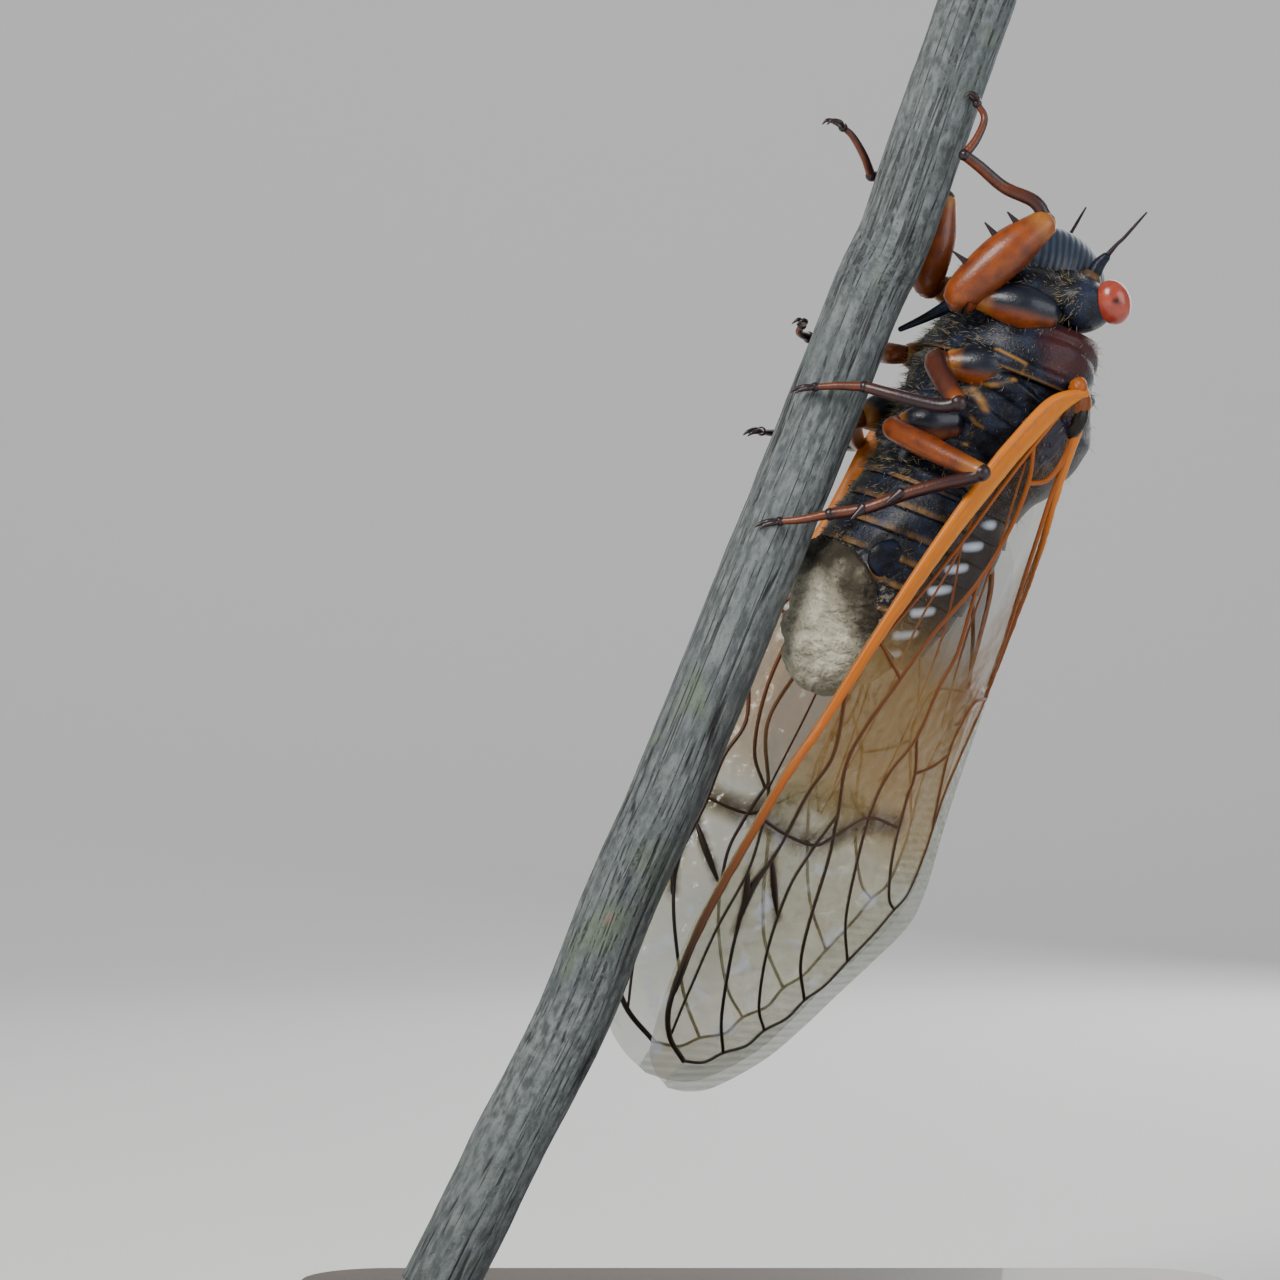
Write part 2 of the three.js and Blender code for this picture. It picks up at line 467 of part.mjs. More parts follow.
function wingSolid(outline, veins, inset, side) {
  const plate = extruded(outline, MEMBRANE / 2);
  const rise = MEMBRANE / 2 + VEIN_RISE;
  const half = veins.reduce((m, vein) => m.add(veinStrip(vein, rise)), plate);
  const mesh = largest(half).getMesh();
  const points = [];
  for (let i = 0; i < mesh.vertProperties.length; i += 3) {
    points.push(Array.from(mesh.vertProperties.slice(i, i + 3)));
  }
  let faces = [];
  for (let i = 0; i < mesh.triVerts.length; i += 3) {
    const tri = Array.from(mesh.triVerts.slice(i, i + 3));
    if (!tri.every((v) => Math.abs(points[v][2]) < 1e-6)) {
      faces.push(tri);
    }
  }
  for (const limit of [7, 4.5]) {
    faces = halveLong(points, faces, limit);
  }
  const below = new Map();
  const count = points.length;
  for (let i = 0; i < count; i++) {
    if (Math.abs(points[i][2]) < 1e-6) {
      below.set(i, i);
    } else {
      points.push([points[i][0], points[i][1], -points[i][2]]);
      below.set(i, points.length - 1);
    }
  }
  const under = faces.map(([a, b, c]) => [below.get(a), below.get(c), below.get(b)]);
  const used = [...faces, ...under];
  const keep = new Map();
  const kept = [];
  const renumbered = used.map((tri) => tri.map((v) => {
    if (!keep.has(v)) {
      keep.set(v, kept.length);
      kept.push(onWing(points[v][0], points[v][1], points[v][2], inset, side));
    }
    return keep.get(v);
  }));
  return solid(kept, renumbered);
}

// Stand.
function baseSolid() {
  const shape = new THREE.Shape();
  const [x, y, r] = [BASE.x / 2 - BASE.bevel, BASE.y / 2 - BASE.bevel, BASE.corner];
  shape.moveTo(-x + r, -y);
  shape.lineTo(x - r, -y);
  shape.absarc(x - r, -y + r, r, -Math.PI / 2, 0, false);
  shape.lineTo(x, y - r);
  shape.absarc(x - r, y - r, r, 0, Math.PI / 2, false);
  shape.lineTo(-x + r, y);
  shape.absarc(-x + r, y - r, r, Math.PI / 2, Math.PI, false);
  shape.lineTo(-x, -y + r);
  shape.absarc(-x + r, -y + r, r, Math.PI, 1.5 * Math.PI, false);
  const flat = shape.getPoints(5).slice(0, -1);
  const grown = (g, z) => flat.map((p) => [
    p.x + Math.sign(p.x) * g,
    p.y + Math.sign(p.y) * g,
    z,
  ]);
  const b = BASE.bevel;
  return loft([grown(b, 0), grown(b, BASE.z - b), grown(0.3 * b, BASE.z - 0.3 * b), grown(0, BASE.z)]);
}
function rodSolid() {
  const n = 16;
  const ring = (z) => Array.from({ length: n }, (_, i) => {
    const a = (2 * Math.PI * i) / n;
    return toBody([ROD.x + ROD.radius * Math.cos(a), ROD.y + ROD.radius * Math.sin(a), z]);
  });
  return cut(loft([ring(BASE.z + GAP), ring(ROD.top)]), twigClear);
}

const group = new THREE.Group();
function place(name, body, look, inBody = true) {
  const mesh = largest(body).getMesh();
  const out = [];
  for (let i = 0; i < mesh.vertProperties.length; i += 3) {
    const p = Array.from(mesh.vertProperties.slice(i, i + 3));
    out.push(...(inBody ? toRow(p) : p));
  }
  const geometry = new THREE.BufferGeometry();
  geometry.setAttribute('position', new THREE.Float32BufferAttribute(out, 3));
  geometry.setIndex(Array.from(mesh.triVerts));
  geometry.computeVertexNormals();
  const part = new THREE.Mesh(geometry, new THREE.MeshStandardMaterial(look));
  part.name = name;
  group.add(part);
}

place('head', head, SHELL);
place('eye_left', eyeball(1), { color: 0xd9481c, roughness: 0.25, metalness: 0 });
place('eye_right', eyeball(-1), { color: 0xd9481c, roughness: 0.25, metalness: 0 });
place('antenna_left', antenna(1), SHELL);
place('antenna_right', antenna(-1), SHELL);
place('rostrum', cut(beak(), trunkClear, twigClear), SHELL);
place('pronotum', pronotum, SHELL);
place('thorax', thorax, SHELL);
place('abdomen', abdomen, SHELL);
place('spore_plug', plug, { color: 0xd8d2bd, roughness: 0.95, metalness: 0 });

const wingClear = fuse(trunk(PRONOTUM, 26, GAP), trunk(THORAX, 26, GAP), trunk(stepped, 24, GAP));
for (const [name, side] of [['left', 1], ['right', -1]]) {
  const knuckle = ellipsoid([HINGE_KNUCKLE.at[0], side * HINGE_KNUCKLE.at[1], HINGE_KNUCKLE.at[2]],
    HINGE_KNUCKLE.half, 12, 8);
  const fore = wingSolid(FORE_OUTLINE, FORE_VEINS, 0, side).add(knuckle);
  const hind = wingSolid(HIND_OUTLINE, HIND_VEINS, HINDWING_INSET, side);
  place(`forewing_${name}`, cut(fore, wingClear), VEINED);
  place(`hindwing_${name}`, cut(hind, wingClear), VEINED);
}
for (const [name, leg] of Object.entries(LEGS)) {
  const body = cut(legSolid(leg), trunkClear, headClear, beak(GAP), twigClear);
  place(name, body, AMBER);
}
place('twig', twig, { color: 0x6f7a80, roughness: 0.85, metalness: 0 });
place('stand_base', baseSolid(), { color: 0x3a2417, roughness: 0.45, metalness: 0 }, false);
place('stand_rod', rodSolid(), { color: 0xb08d4a, roughness: 0.3, metalness: 1 });

export default group;
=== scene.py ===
# %% [markdown]
# A periodical cicada on a leaning twig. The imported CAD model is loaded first
# and stays fixed. Every finer piece below is laid over one of its nodes, in
# the same frame and in metres, so nothing has to be fitted by eye.

# %% Frame
import math
import bpy
import numpy as np
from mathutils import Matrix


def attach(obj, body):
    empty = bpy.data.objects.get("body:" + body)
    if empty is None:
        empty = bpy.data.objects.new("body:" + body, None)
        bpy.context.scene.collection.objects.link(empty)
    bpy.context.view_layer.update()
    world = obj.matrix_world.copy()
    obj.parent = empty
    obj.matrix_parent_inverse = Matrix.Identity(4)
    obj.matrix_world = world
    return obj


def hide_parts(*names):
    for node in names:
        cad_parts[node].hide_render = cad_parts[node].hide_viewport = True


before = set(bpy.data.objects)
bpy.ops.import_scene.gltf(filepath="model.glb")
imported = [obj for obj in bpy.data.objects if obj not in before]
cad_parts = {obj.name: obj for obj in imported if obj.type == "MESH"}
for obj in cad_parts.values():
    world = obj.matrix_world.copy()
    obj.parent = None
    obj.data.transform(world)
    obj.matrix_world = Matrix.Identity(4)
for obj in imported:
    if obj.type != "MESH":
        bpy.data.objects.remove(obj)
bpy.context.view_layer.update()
MM = 0.001

# %% [markdown]
# The insect is easiest to shape along its own axes: f towards the head, l to
# its left side and u towards its back, all in millimetres from the point
# between the wing hinges. One matrix product carries a whole array of such
# points onto the floor's axes, which is quicker than moving them one by one.

# %% Insect axes
LEAN = math.radians(21.5)
ROLL = math.radians(20)
BODY_AT = np.array([10.76, 1.5, 47.34])
AHEAD = np.array([math.sin(LEAN), 0, math.cos(LEAN)])
OFF_TWIG = np.array([math.cos(LEAN), 0, -math.sin(LEAN)])
LEFTWARD = math.cos(ROLL) * np.array([0, -1, 0]) + math.sin(ROLL) * OFF_TWIG
BACKWARD = math.cos(ROLL) * OFF_TWIG + math.sin(ROLL) * np.array([0, 1, 0])
AXES = np.stack([AHEAD, LEFTWARD, BACKWARD])


def to_floor(points):
    """Insect points (f, l, u) in mm: the body's place plus each axis times its coordinate."""
    return (BODY_AT + np.asarray(points) @ AXES) * MM


def flipped(points, side):
    """The same points on the insect's left (side 1) or right (side -1)."""
    return np.asarray(points, float) * np.array([1, side, 1])


print("head points to", AHEAD.round(3), "and the back to", BACKWARD.round(3))

# %% [markdown]
# Most pieces are closed skins: rings of points carried along a line, joined
# into quads, with a fan at each end. Several skins can share one object, as
# a leg's segments do, so a skin is kept as plain arrays until it is made.
# Rings that run inside out give a negative volume, and are turned over.

# %% Skins from rings
def skin(rings, **marks):
    """Rings (m, n, 3) joined ring to ring; each end closes on its middle point. marks are (m, n) arrays."""
    m, n, _ = rings.shape
    points = np.vstack([rings.reshape(-1, 3), rings[0].mean(0), rings[-1].mean(0)])
    i, j = np.meshgrid(np.arange(m - 1), np.arange(n), indexing="ij")
    a = (i * n + j).ravel()
    b = (i * n + (j + 1) % n).ravel()
    quads = np.stack([a, b, b + n, a + n], 1)
    k = np.arange(n)
    first, last = m * n, m * n + 1
    start = np.stack([np.full(n, first), (k + 1) % n, k], 1)
    end = np.stack([np.full(n, last), (m - 1) * n + k, (m - 1) * n + (k + 1) % n], 1)
    tris = np.vstack([start, end])
    corners = points[np.vstack([quads[:, :3], quads[:, [0, 2, 3]], tris])]
    if (corners[:, 0] * np.cross(corners[:, 1], corners[:, 2])).sum() < 0:
        quads = quads[:, ::-1]
        tris = tris[:, ::-1]
    held = {}
    for name, values in marks.items():
        values = np.asarray(values, float)
        if values.ndim == 3:
            held[name] = np.vstack([values.reshape(-1, 3), values[0].mean(0), values[-1].mean(0)])
        else:
            values = np.broadcast_to(values, (m, n))
            held[name] = np.concatenate([values.ravel(), [values[0].mean()], [values[-1].mean()]])
    return points, quads, tris, held


def body_skin(grid, **marks):
    """A skin from rings of insect points."""
    return skin(to_floor(grid), **marks)


def patch(grid, **marks):
    """An open sheet: a grid (m, n, 3) of points joined into quads."""
    m, n, _ = grid.shape
    i, j = np.meshgrid(np.arange(m - 1), np.arange(n - 1), indexing="ij")
    a = (i * n + j).ravel()
    quads = np.stack([a, a + 1, a + n + 1, a + n], 1)
    held = {name: np.broadcast_to(values, (m, n)).ravel() for name, values in marks.items()}
    return grid.reshape(-1, 3), quads, np.zeros((0, 3), int), held


def made(name, skins, material, nodes=()):
    """One object from several skins in floor metres. It rides on the root for its CAD nodes, or is stage."""
    points, faces, marks = np.zeros((0, 3)), [], {}
    names = sorted({key for s in skins for key in s[3]})
    for p, quads, tris, held in skins:
        faces += (quads + len(points)).tolist() + (tris + len(points)).tolist()
        points = np.vstack([points, p])
        for key in names:
            marks.setdefault(key, []).append(held.get(key, np.zeros(len(p))))
    mesh = bpy.data.meshes.new(name)
    mesh.from_pydata(points.tolist(), [], faces)
    for key in names:
        values = np.concatenate(marks[key])
        kind, field = ("FLOAT_VECTOR", "vector") if values.ndim == 2 else ("FLOAT", "value")
        mesh.attributes.new(key, kind, "POINT").data.foreach_set(field, values.ravel())
    mesh.shade_smooth()
    mesh.materials.append(material)
    piece = bpy.data.objects.new(name, mesh)
    bpy.context.collection.objects.link(piece)
    if nodes:
        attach(piece, "root")
        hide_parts(*nodes)
    print(name, len(mesh.vertices), "points,", len(faces), "faces")
    return piece


# %% Smooth lines and limbs
END_REACH = 0.45
END_SIZE = 0.6
LATTICE = 64
POLE_GAP = 0.02


def turns(count):
    """count angles once round, as a row."""
    return np.linspace(0, 2 * math.pi, count, endpoint=False)[None]


def smooth_line(points, count):
    """A Catmull-Rom line: a cubic in t between each pair of points, its slopes set by their neighbours."""
    p = np.asarray(points, float)
    padded = np.vstack([2 * p[0] - p[1], p, 2 * p[-1] - p[-2]])
    t = np.linspace(0, len(p) - 1 - 1e-9, count)
    i = t.astype(int)
    x = (t - i)[:, None]
    a, b, c, d = (padded[i + k] for k in range(4))
    bend = 2 * a - 5 * b + 4 * c - d
    return 0.5 * (2 * b + (c - a) * x + bend * x**2 + (3 * b - a - 3 * c + d) * x**3)


def limb(line, radii, around=12, up=(0, 0, 1), smooth=True):
    """Circles of the given radii along the line, each square to it, with a smaller one past each end."""
    path = np.asarray(line, float)
    width = np.asarray(radii, float)
    if smooth:
        count = 8 * len(path)
        path = smooth_line(path, count)
        width = smooth_line(width[:, None], count)[:, 0]
    along = np.gradient(path, axis=0)
    along /= np.linalg.norm(along, axis=1, keepdims=True)
    across = np.cross(along, np.asarray(up, float))
    across /= np.linalg.norm(across, axis=1, keepdims=True) + 1e-12
    rise = np.cross(across, along)
    start = path[0] - END_REACH * width[0] * along[0]
    end = path[-1] + END_REACH * width[-1] * along[-1]
    path = np.vstack([start, path, end])
    across = np.vstack([across[:1], across, across[-1:]])
    rise = np.vstack([rise[:1], rise, rise[-1:]])
    width = np.concatenate([[END_SIZE * width[0]], width, [END_SIZE * width[-1]]])
    t = turns(around)[..., None]
    ring = across[:, None] * np.cos(t) + rise[:, None] * np.sin(t)
    return path[:, None] + ring * width[:, None, None]


def lumps(u, v, seed, octaves=4, repeat=0):
    """Soft random relief over (u, v): sums of random lattices, each twice as fine and half as high."""
    total = np.zeros(np.broadcast(u, v).shape)
    rng = np.random.default_rng(seed)
    for octave in range(octaves):
        scale = 2**octave
        grid = rng.uniform(-1, 1, (LATTICE, LATTICE))
        span = repeat * scale if repeat else LATTICE
        x, y = np.broadcast_arrays(u * scale, v * scale)
        xi, yi = np.floor(x).astype(int), np.floor(y).astype(int)
        fx, fy = x - xi, y - yi
        fx, fy = fx * fx * (3 - 2 * fx), fy * fy * (3 - 2 * fy)
        x0, x1 = xi % span % LATTICE, (xi + 1) % span % LATTICE
        y0, y1 = yi % LATTICE, (yi + 1) % LATTICE
        low = grid[x0, y0] * (1 - fx) + grid[x1, y0] * fx
        high = grid[x0, y1] * (1 - fx) + grid[x1, y1] * fx
        total += (low * (1 - fy) + high * fy) / scale
    return total


def near_line(points, line, width):
    """1 on the line and 0 beyond width from it, by the distance from each point to each piece of the line."""
    line = np.asarray(line, float)
    best = np.full(points.shape[:-1], 1e9)
    for a, b in zip(line[:-1], line[1:]):
        ab = b - a
        t = np.clip(((points - a) @ ab) / (ab @ ab), 0, 1)
        best = np.minimum(best, np.linalg.norm(points - a - t[..., None] * ab, axis=-1))
    x = np.clip(1 - best / width, 0, 1)
    return x * x * (3 - 2 * x)


def dome(rows, around):
    """Heights a, turns b, and the points (cos a cos b, cos a sin b, sin a) of a unit sphere."""
    a = np.linspace(POLE_GAP - math.pi / 2, math.pi / 2 - POLE_GAP, rows)[:, None]
    b = turns(around)
    return a, b, np.stack([np.cos(a) * np.cos(b), np.cos(a) * np.sin(b), np.sin(a) + 0 * b], -1)


def ball(at, half, rows=24, around=32, bump=0.0, seed=1):
    """An ellipsoid of the given half sizes, with lumps of height bump."""
    a, b, shape = dome(rows, around)
    r = 1 + bump * lumps(b * around / (4 * math.pi), a * 4, seed, 3, max(2, around // 2))
    return np.asarray(at) + shape * np.asarray(half) * r[..., None]


print("a limb of two joints has", limb([[0, 0, 0], [1, 0, 0]], [0.2, 0.1]).shape, "points")

# %% [markdown]
# Finishes are node trees. Writing them socket by socket hides the idea, so a
# small class lets a finish read like arithmetic: mask * 2 + 1 adds two Math
# nodes. One function makes every node, and a colour is built up like paint:
# a base under coats, each laid on through its own mask.

# %% Shader arithmetic
class Sock:
    """A node's output that can be added, multiplied and compared like a number."""

    def __init__(self, tree, socket):
        self.tree = tree
        self.socket = socket

    def math(self, kind, *others):
        """One Math node of that kind on this socket and the others."""
        return node(self.tree, "ShaderNodeMath", {"operation": kind}, [self, *others])

    def __add__(self, other):
        return self.math("ADD", other)

    def __sub__(self, other):
        return self.math("SUBTRACT", other)

    def __rsub__(self, other):
        return node(self.tree, "ShaderNodeMath", {"operation": "SUBTRACT"}, [other, self])

    def __mul__(self, other):
        return self.math("MULTIPLY", other)

    __radd__ = __add__
    __rmul__ = __mul__

    def step(self, low, high):
        """0 below low and 1 above high, smooth between."""
        settings = {"interpolation_type": "SMOOTHSTEP"}
        return node(self.tree, "ShaderNodeMapRange", settings, {0: self, 1: low, 2: high, 3: 0.0, 4: 1.0})


def node(tree, kind, settings=None, inputs=(), output=0):
    """Any node: its settings first, then values or links for its inputs, by order or by name."""
    made_node = tree.nodes.new(kind)
    for key, value in (settings or {}).items():
        if key == "stops":
            elements = made_node.color_ramp.elements
            while len(elements) < len(value):
                elements.new(0.5)
            for element, (place, colour) in zip(elements, value):
                element.position = place
                element.color = (*colour, 1)
        else:
            setattr(made_node, key, value)
    pairs = inputs.items() if isinstance(inputs, dict) else enumerate(inputs)
    for key, value in pairs:
        if isinstance(value, Sock):
            tree.links.new(value.socket, made_node.inputs[key])
        elif isinstance(value, tuple) and len(value) == 3 and made_node.inputs[key].type == "RGBA":
            made_node.inputs[key].default_value = (*value, 1)
        else:
            made_node.inputs[key].default_value = value
    return Sock(tree, made_node.outputs[output])


def painted(colour, *coats):
    """A colour under coats of (mask, colour): each covers what is below it where its mask is 1."""
    for mask, over in coats:
        colour = node(mask.tree, "ShaderNodeMix", {"data_type": "RGBA"}, {0: mask, 6: colour, 7: over}, 2)
    return colour


def mark(tree, name, output=2):
    """A number stored on the surface's points, or a vector from output 1."""
    return node(tree, "ShaderNodeAttribute", {"attribute_name": name}, {}, output)


def grain(tree, size, detail=3.0, scale=(1, 1, 1), on=None):
    """Noise from 0 to 1 in blotches about size mm across, by place or a stored vector, stretched by scale."""
    where = on or node(tree, "ShaderNodeTexCoord", {}, {}, 3)
    stretched = node(tree, "ShaderNodeMapping", {"vector_type": "POINT"}, {0: where, 3: scale})
    values = {"Vector": stretched, "Scale": 1 / (size * MM), "Detail": detail, "Roughness": 0.55}
    return node(tree, "ShaderNodeTexNoise", {}, values)


def finish_of(name, build, **uniform):
    """A material: build(tree) returns what varies; uniform values go straight on the shader's sockets."""
    material = bpy.data.materials.new(name)
    material.use_nodes = True
    tree = material.node_tree
    shader = tree.nodes["Principled BSDF"]
    for key, value in uniform.items():
        shader.inputs[key.replace("_", " ")].default_value = value
    for key, value in build(tree).items():
        if isinstance(value, Sock):
            tree.links.new(value.socket, shader.inputs[key])
        else:
            shader.inputs[key].default_value = value
    return material


def bumped(tree, height, distance, strength=1.0):
    """A Bump node: height in 0 to 1 stands for distance millimetres."""
    values = {"Height": height, "Distance": distance * MM, "Strength": strength}
    return node(tree, "ShaderNodeBump", {}, values)


print("shader helpers ready")

# %% [markdown]
# The photograph looks level and square at the twig from about twenty
# centimetres. A 125 mm lens on a 36 mm sensor gives the same framing from
# there. The studio is a pale floor that curves up behind, one broad soft key
# light, a fill, and a low light from behind so that the wings glow.

# %% Camera
CAMERA_AT = np.array([-5.895, -200.0, 34.825]) * MM
lens = bpy.data.cameras.new("camera")
lens.lens = 125
lens.sensor_width = 36
lens.clip_start = 0.005
camera = bpy.data.objects.new("camera", lens)
camera.location = CAMERA_AT
camera.rotation_euler = (math.radians(90), 0, 0)
bpy.context.collection.objects.link(camera)
bpy.context.scene.camera = camera
print("camera at", CAMERA_AT.round(4))


# %% Studio
def lamp(name, at, towards, size, power, colour=(1, 1, 1)):
    """A square soft light facing a point."""
    light = bpy.data.lights.new(name, "AREA")
    light.size = size
    light.energy = power
    light.color = colour
    holder = bpy.data.objects.new(name, light)
    holder.location = at
    way = np.asarray(towards) - np.asarray(at)
    turn = math.atan2(way[1], way[0]) - math.pi / 2
    tilt = math.atan2(way[2], math.hypot(way[0], way[1])) + math.pi / 2
    holder.rotation_euler = (tilt, 0, turn)
    bpy.context.collection.objects.link(holder)


AIM = (0.004, 0, 0.035)
lamp("key", (-0.16, -0.22, 0.24), AIM, 0.14, 1.35, (1.0, 0.98, 0.94))
lamp("fill", (0.24, -0.16, 0.12), AIM, 0.2, 0.42, (0.93, 0.96, 1.0))
lamp("glow", (0.1, 0.2, 0.12), AIM, 0.18, 0.25)
world = bpy.data.worlds.new("studio")
world.use_nodes = True
world.node_tree.nodes["Background"].inputs[0].default_value = (0.9, 0.93, 0.96, 1)
world.node_tree.nodes["Background"].inputs[1].default_value = 0.38
bpy.context.scene.world = world
floor_finish = finish_of("studio paper", lambda tree: {"Base Color": (0.8, 0.81, 0.79, 1), "Roughness": 0.9})
bend = np.linspace(0, math.pi / 2, 16)
sweep_y = np.concatenate([[-0.6], 0.25 + 0.2 * np.sin(bend), [0.45]])
sweep_z = np.concatenate([[0], 0.2 - 0.2 * np.cos(bend), [0.9]]) - 1e-5
sweep_x = np.array([-0.9, 0.9])
paper = np.stack(np.broadcast_arrays(sweep_x[None], sweep_y[:, None], sweep_z[:, None]), -1)
made("paper", [patch(paper)], floor_finish)
print("studio ready")

# %% [markdown]
# The twig is a dead branch 3.4 mm thick, with grey bark, long cracks and a
# little lichen. It is a tube round a bent line whose radius is cut by furrows
# that run with the grain. Its unrolled skin, kept as a vector on the points,
# lets the bark's pattern stretch along the twig and not across it.

# %% Twig
TWIG_LINE = np.array([
    [-15.02, 5.66], [-11.67, 12.46], [-8.94, 17.83], [-6.79, 23.2], [-4.42, 28.56],
    [-1.15, 36.61], [1.6, 43.4], [4.17, 50.03], [5.42, 52.72], [7.3, 58.08], [9.18, 63.45],
    [9.54, 64.57],
])
TWIG_RADIUS = 1.68
TWIG_LENGTH = 66
TWIG_Y = -1.2
CELLS_ROUND = 16


def twig_rings(along=420, around=144):
    """The line's point plus radius times (cos, sin); furrows follow noise stretched along the twig."""
    line = np.stack([TWIG_LINE[:, 0], np.full(len(TWIG_LINE), TWIG_Y), TWIG_LINE[:, 1]], 1)
    line = smooth_line(line, along)
    way = np.gradient(line, axis=0)
    way /= np.linalg.norm(way, axis=1, keepdims=True)
    depth = np.array([0.0, 1.0, 0.0])
    across = np.cross(depth, way)
    t = turns(around)
    length = np.linspace(0, TWIG_LENGTH, along)[:, None]
    cell = t * CELLS_ROUND / (2 * math.pi)
    furrow = lumps(cell, length * 0.35, 5, 3, CELLS_ROUND)
    fine = lumps(cell * 3, length * 0.9, 6, 3, CELLS_ROUND * 3)
    crack = np.clip(1 - np.abs(lumps(cell * 1.5, length * 0.07, 7, 2, CELLS_ROUND * 3 // 2)) * 9, 0, 1)
    radius = TWIG_RADIUS - 0.01 + 0.03 * furrow + 0.012 * fine - 0.07 * crack
    ring = depth * np.cos(t)[..., None] + across[:, None] * np.sin(t)[..., None]
    rings = line[:, None] + ring * radius[..., None]
    unrolled = np.stack(np.broadcast_arrays(np.cos(t) * TWIG_RADIUS, np.sin(t) * TWIG_RADIUS, length), -1)
    return rings * MM, crack, unrolled * MM


def bark(tree):
    """Grey fibres and small scales along the twig, thin dark cracks, green blots and a few rusty specks."""
    along = mark(tree, "unrolled", 1)
    scales = grain(tree, 0.3, 6, (1, 1, 0.5), along)
    fibre = grain(tree, 0.3, 6, (1, 1, 0.07), along)
    split = grain(tree, 1.0, 3, (1, 1, 0.035), along)
    thin = 1 - (split - 0.5).math("ABSOLUTE").step(0.004, 0.03)
    broken = thin * scales.step(0.42, 0.56)
    blots = grain(tree, 4.0, 3)
    pits = grain(tree, 0.14, 3)
    mixed = scales * 0.72 + fibre * 0.28
    colour = painted(
        (0.052, 0.06, 0.062),
        (mixed.step(0.36, 0.64), (0.175, 0.195, 0.195)),
        (blots.step(0.35, 0.65) * 0.45, (0.09, 0.105, 0.11)),
        (blots.step(0.55, 0.7) * 0.45, (0.12, 0.155, 0.09)),
        (blots.step(0.7, 0.74) * 0.7, (0.28, 0.13, 0.1)),
        (pits.step(0.62, 0.7) * 0.5, (0.02, 0.021, 0.022)),
        (broken * 0.85, (0.012, 0.013, 0.014)),
        (mark(tree, "crack").step(0.35, 0.9) * 0.9, (0.01, 0.01, 0.011)))
    height = mixed * 0.7 - broken * 0.3 + pits * 0.2
    return {"Base Color": colour, "Roughness": 0.8 + fibre * 0.15, "Normal": bumped(tree, height, 0.2, 0.9)}


rings, crack, unrolled = twig_rings()
bark_finish = finish_of("grey bark", bark)
made("twig_bark", [skin(rings, crack=crack, unrolled=unrolled)], bark_finish, ["twig"])

# %% [markdown]
# The trunk is the hard black shell: pronotum, thorax and abdomen. Each is a
# row of ovals from the same sizes as the solids, drawn finely, with its
# sutures and segment steps pressed into the radius.

# %% Trunk sizes
PRONOTUM = [
    [2.2, 3.7, 3.3, -2.7, 0.9], [1.7, 4.1, 3.55, -3.2, 0.8], [0.9, 4.3, 3.8, -3.5, 0.5],
    [0.2, 4.4, 3.9, -3.7, 0.4], [-0.1, 4.6, 4.1, -3.8, 0.4], [-0.6, 4.6, 4.1, -3.8, 0.4],
]
THORAX = [
    [-0.7, 4.3, 4.25, -3.9, 0.4], [-1.4, 4.3, 4.7, -4.0, 0.3], [-2.2, 4.2, 4.9, -4.1, 0.2],
    [-3.3, 4.1, 4.75, -4.2, 0.0], [-4.4, 3.95, 4.15, -4.2, -0.2], [-5.0, 3.85, 3.95, -4.2, -0.3],
    [-5.7, 3.8, 3.3, -4.2, -0.4], [-6.6, 3.7, 3.0, -4.2, -0.4],
]
ABDOMEN = [
    [-6.4, 3.6, 2.7, -4.2, -0.6], [-7.9, 3.85, 2.75, -4.6, -0.7], [-9.0, 3.85, 2.6, -4.9, -0.9],
    [-10.1, 3.75, 2.4, -5.0, -1.2], [-11.2, 3.6, 2.1, -5.1, -1.4], [-12.3, 3.4, 1.7, -5.1, -1.6],
    [-13.4, 3.1, 1.2, -5.0, -1.8], [-14.7, 2.6, 0.6, -4.8, -2.0],
]


def trunk(sections, along, around, relief, end=None):
    """Ovals (half cos t, middle + rise sin t) along f, pushed out by relief(f, t). end(t) slants the last.

    Each row of sections is f, half width, top, bottom and middle."""
    fine = smooth_line(sections, 400)
    s = np.linspace(0, 1, along)[:, None]
    t = turns(around)
    last = end(t) if end else fine[-1, 0] + 0 * t
    f = fine[0, 0] + (last - fine[0, 0]) * s
    half, top, bottom, middle = (np.interp(-f, -fine[:, 0], fine[:, k]) for k in range(1, 5))
    out = relief(f, t)
    rise = np.where(np.sin(t) > 0, top - middle, middle - bottom)
    return np.stack([f, (half + out) * np.cos(t), middle + (rise + out) * np.sin(t)], -1)


def dark_shell(tree):
    """Blue-black chitin: rust and tan marks, gold bloom in the hollows, pale dust by the broken end, and
    painted highlights as pale blue-white spots.
    """
    blotch = grain(tree, 0.9, 5)
    fine = grain(tree, 0.09, 3)
    pits = grain(tree, 0.2, 5)
    dust = mark(tree, "dust")
    colour = painted(
        (0.003, 0.0035, 0.006),
        (blotch.step(0.35, 0.7), (0.01, 0.017, 0.04)),
        (mark(tree, "down") * fine.step(0.56, 0.68) * 0.35, (0.16, 0.12, 0.06)),
        (mark(tree, "rust") * (0.45 + blotch * 0.6), (0.055, 0.009, 0.007)),
        (mark(tree, "seam"), (0.3, 0.15, 0.035)),
        (dust * pits.step(0.5, 0.62), (0.26, 0.22, 0.15)),
        # painted highlight: pale blue-white gloss spots down the abdomen's flank
        (mark(tree, "shine"), (0.72, 0.84, 1.0)))
    relief = fine * 0.3 + pits * 0.7
    rough = 0.26 + blotch * 0.3 + dust * 0.3
    return {"Base Color": colour, "Roughness": rough, "Normal": bumped(tree, relief, 0.07, 0.8)}


shell = finish_of("blue-black shell", dark_shell, IOR=1.33, Specular_IOR_Level=0.42, Coat_Weight=0.06,
                  Coat_Roughness=0.15)


# %% Pronotum, thorax and abdomen
RING_FIRST = -6.8
RING_PITCH = 1.17


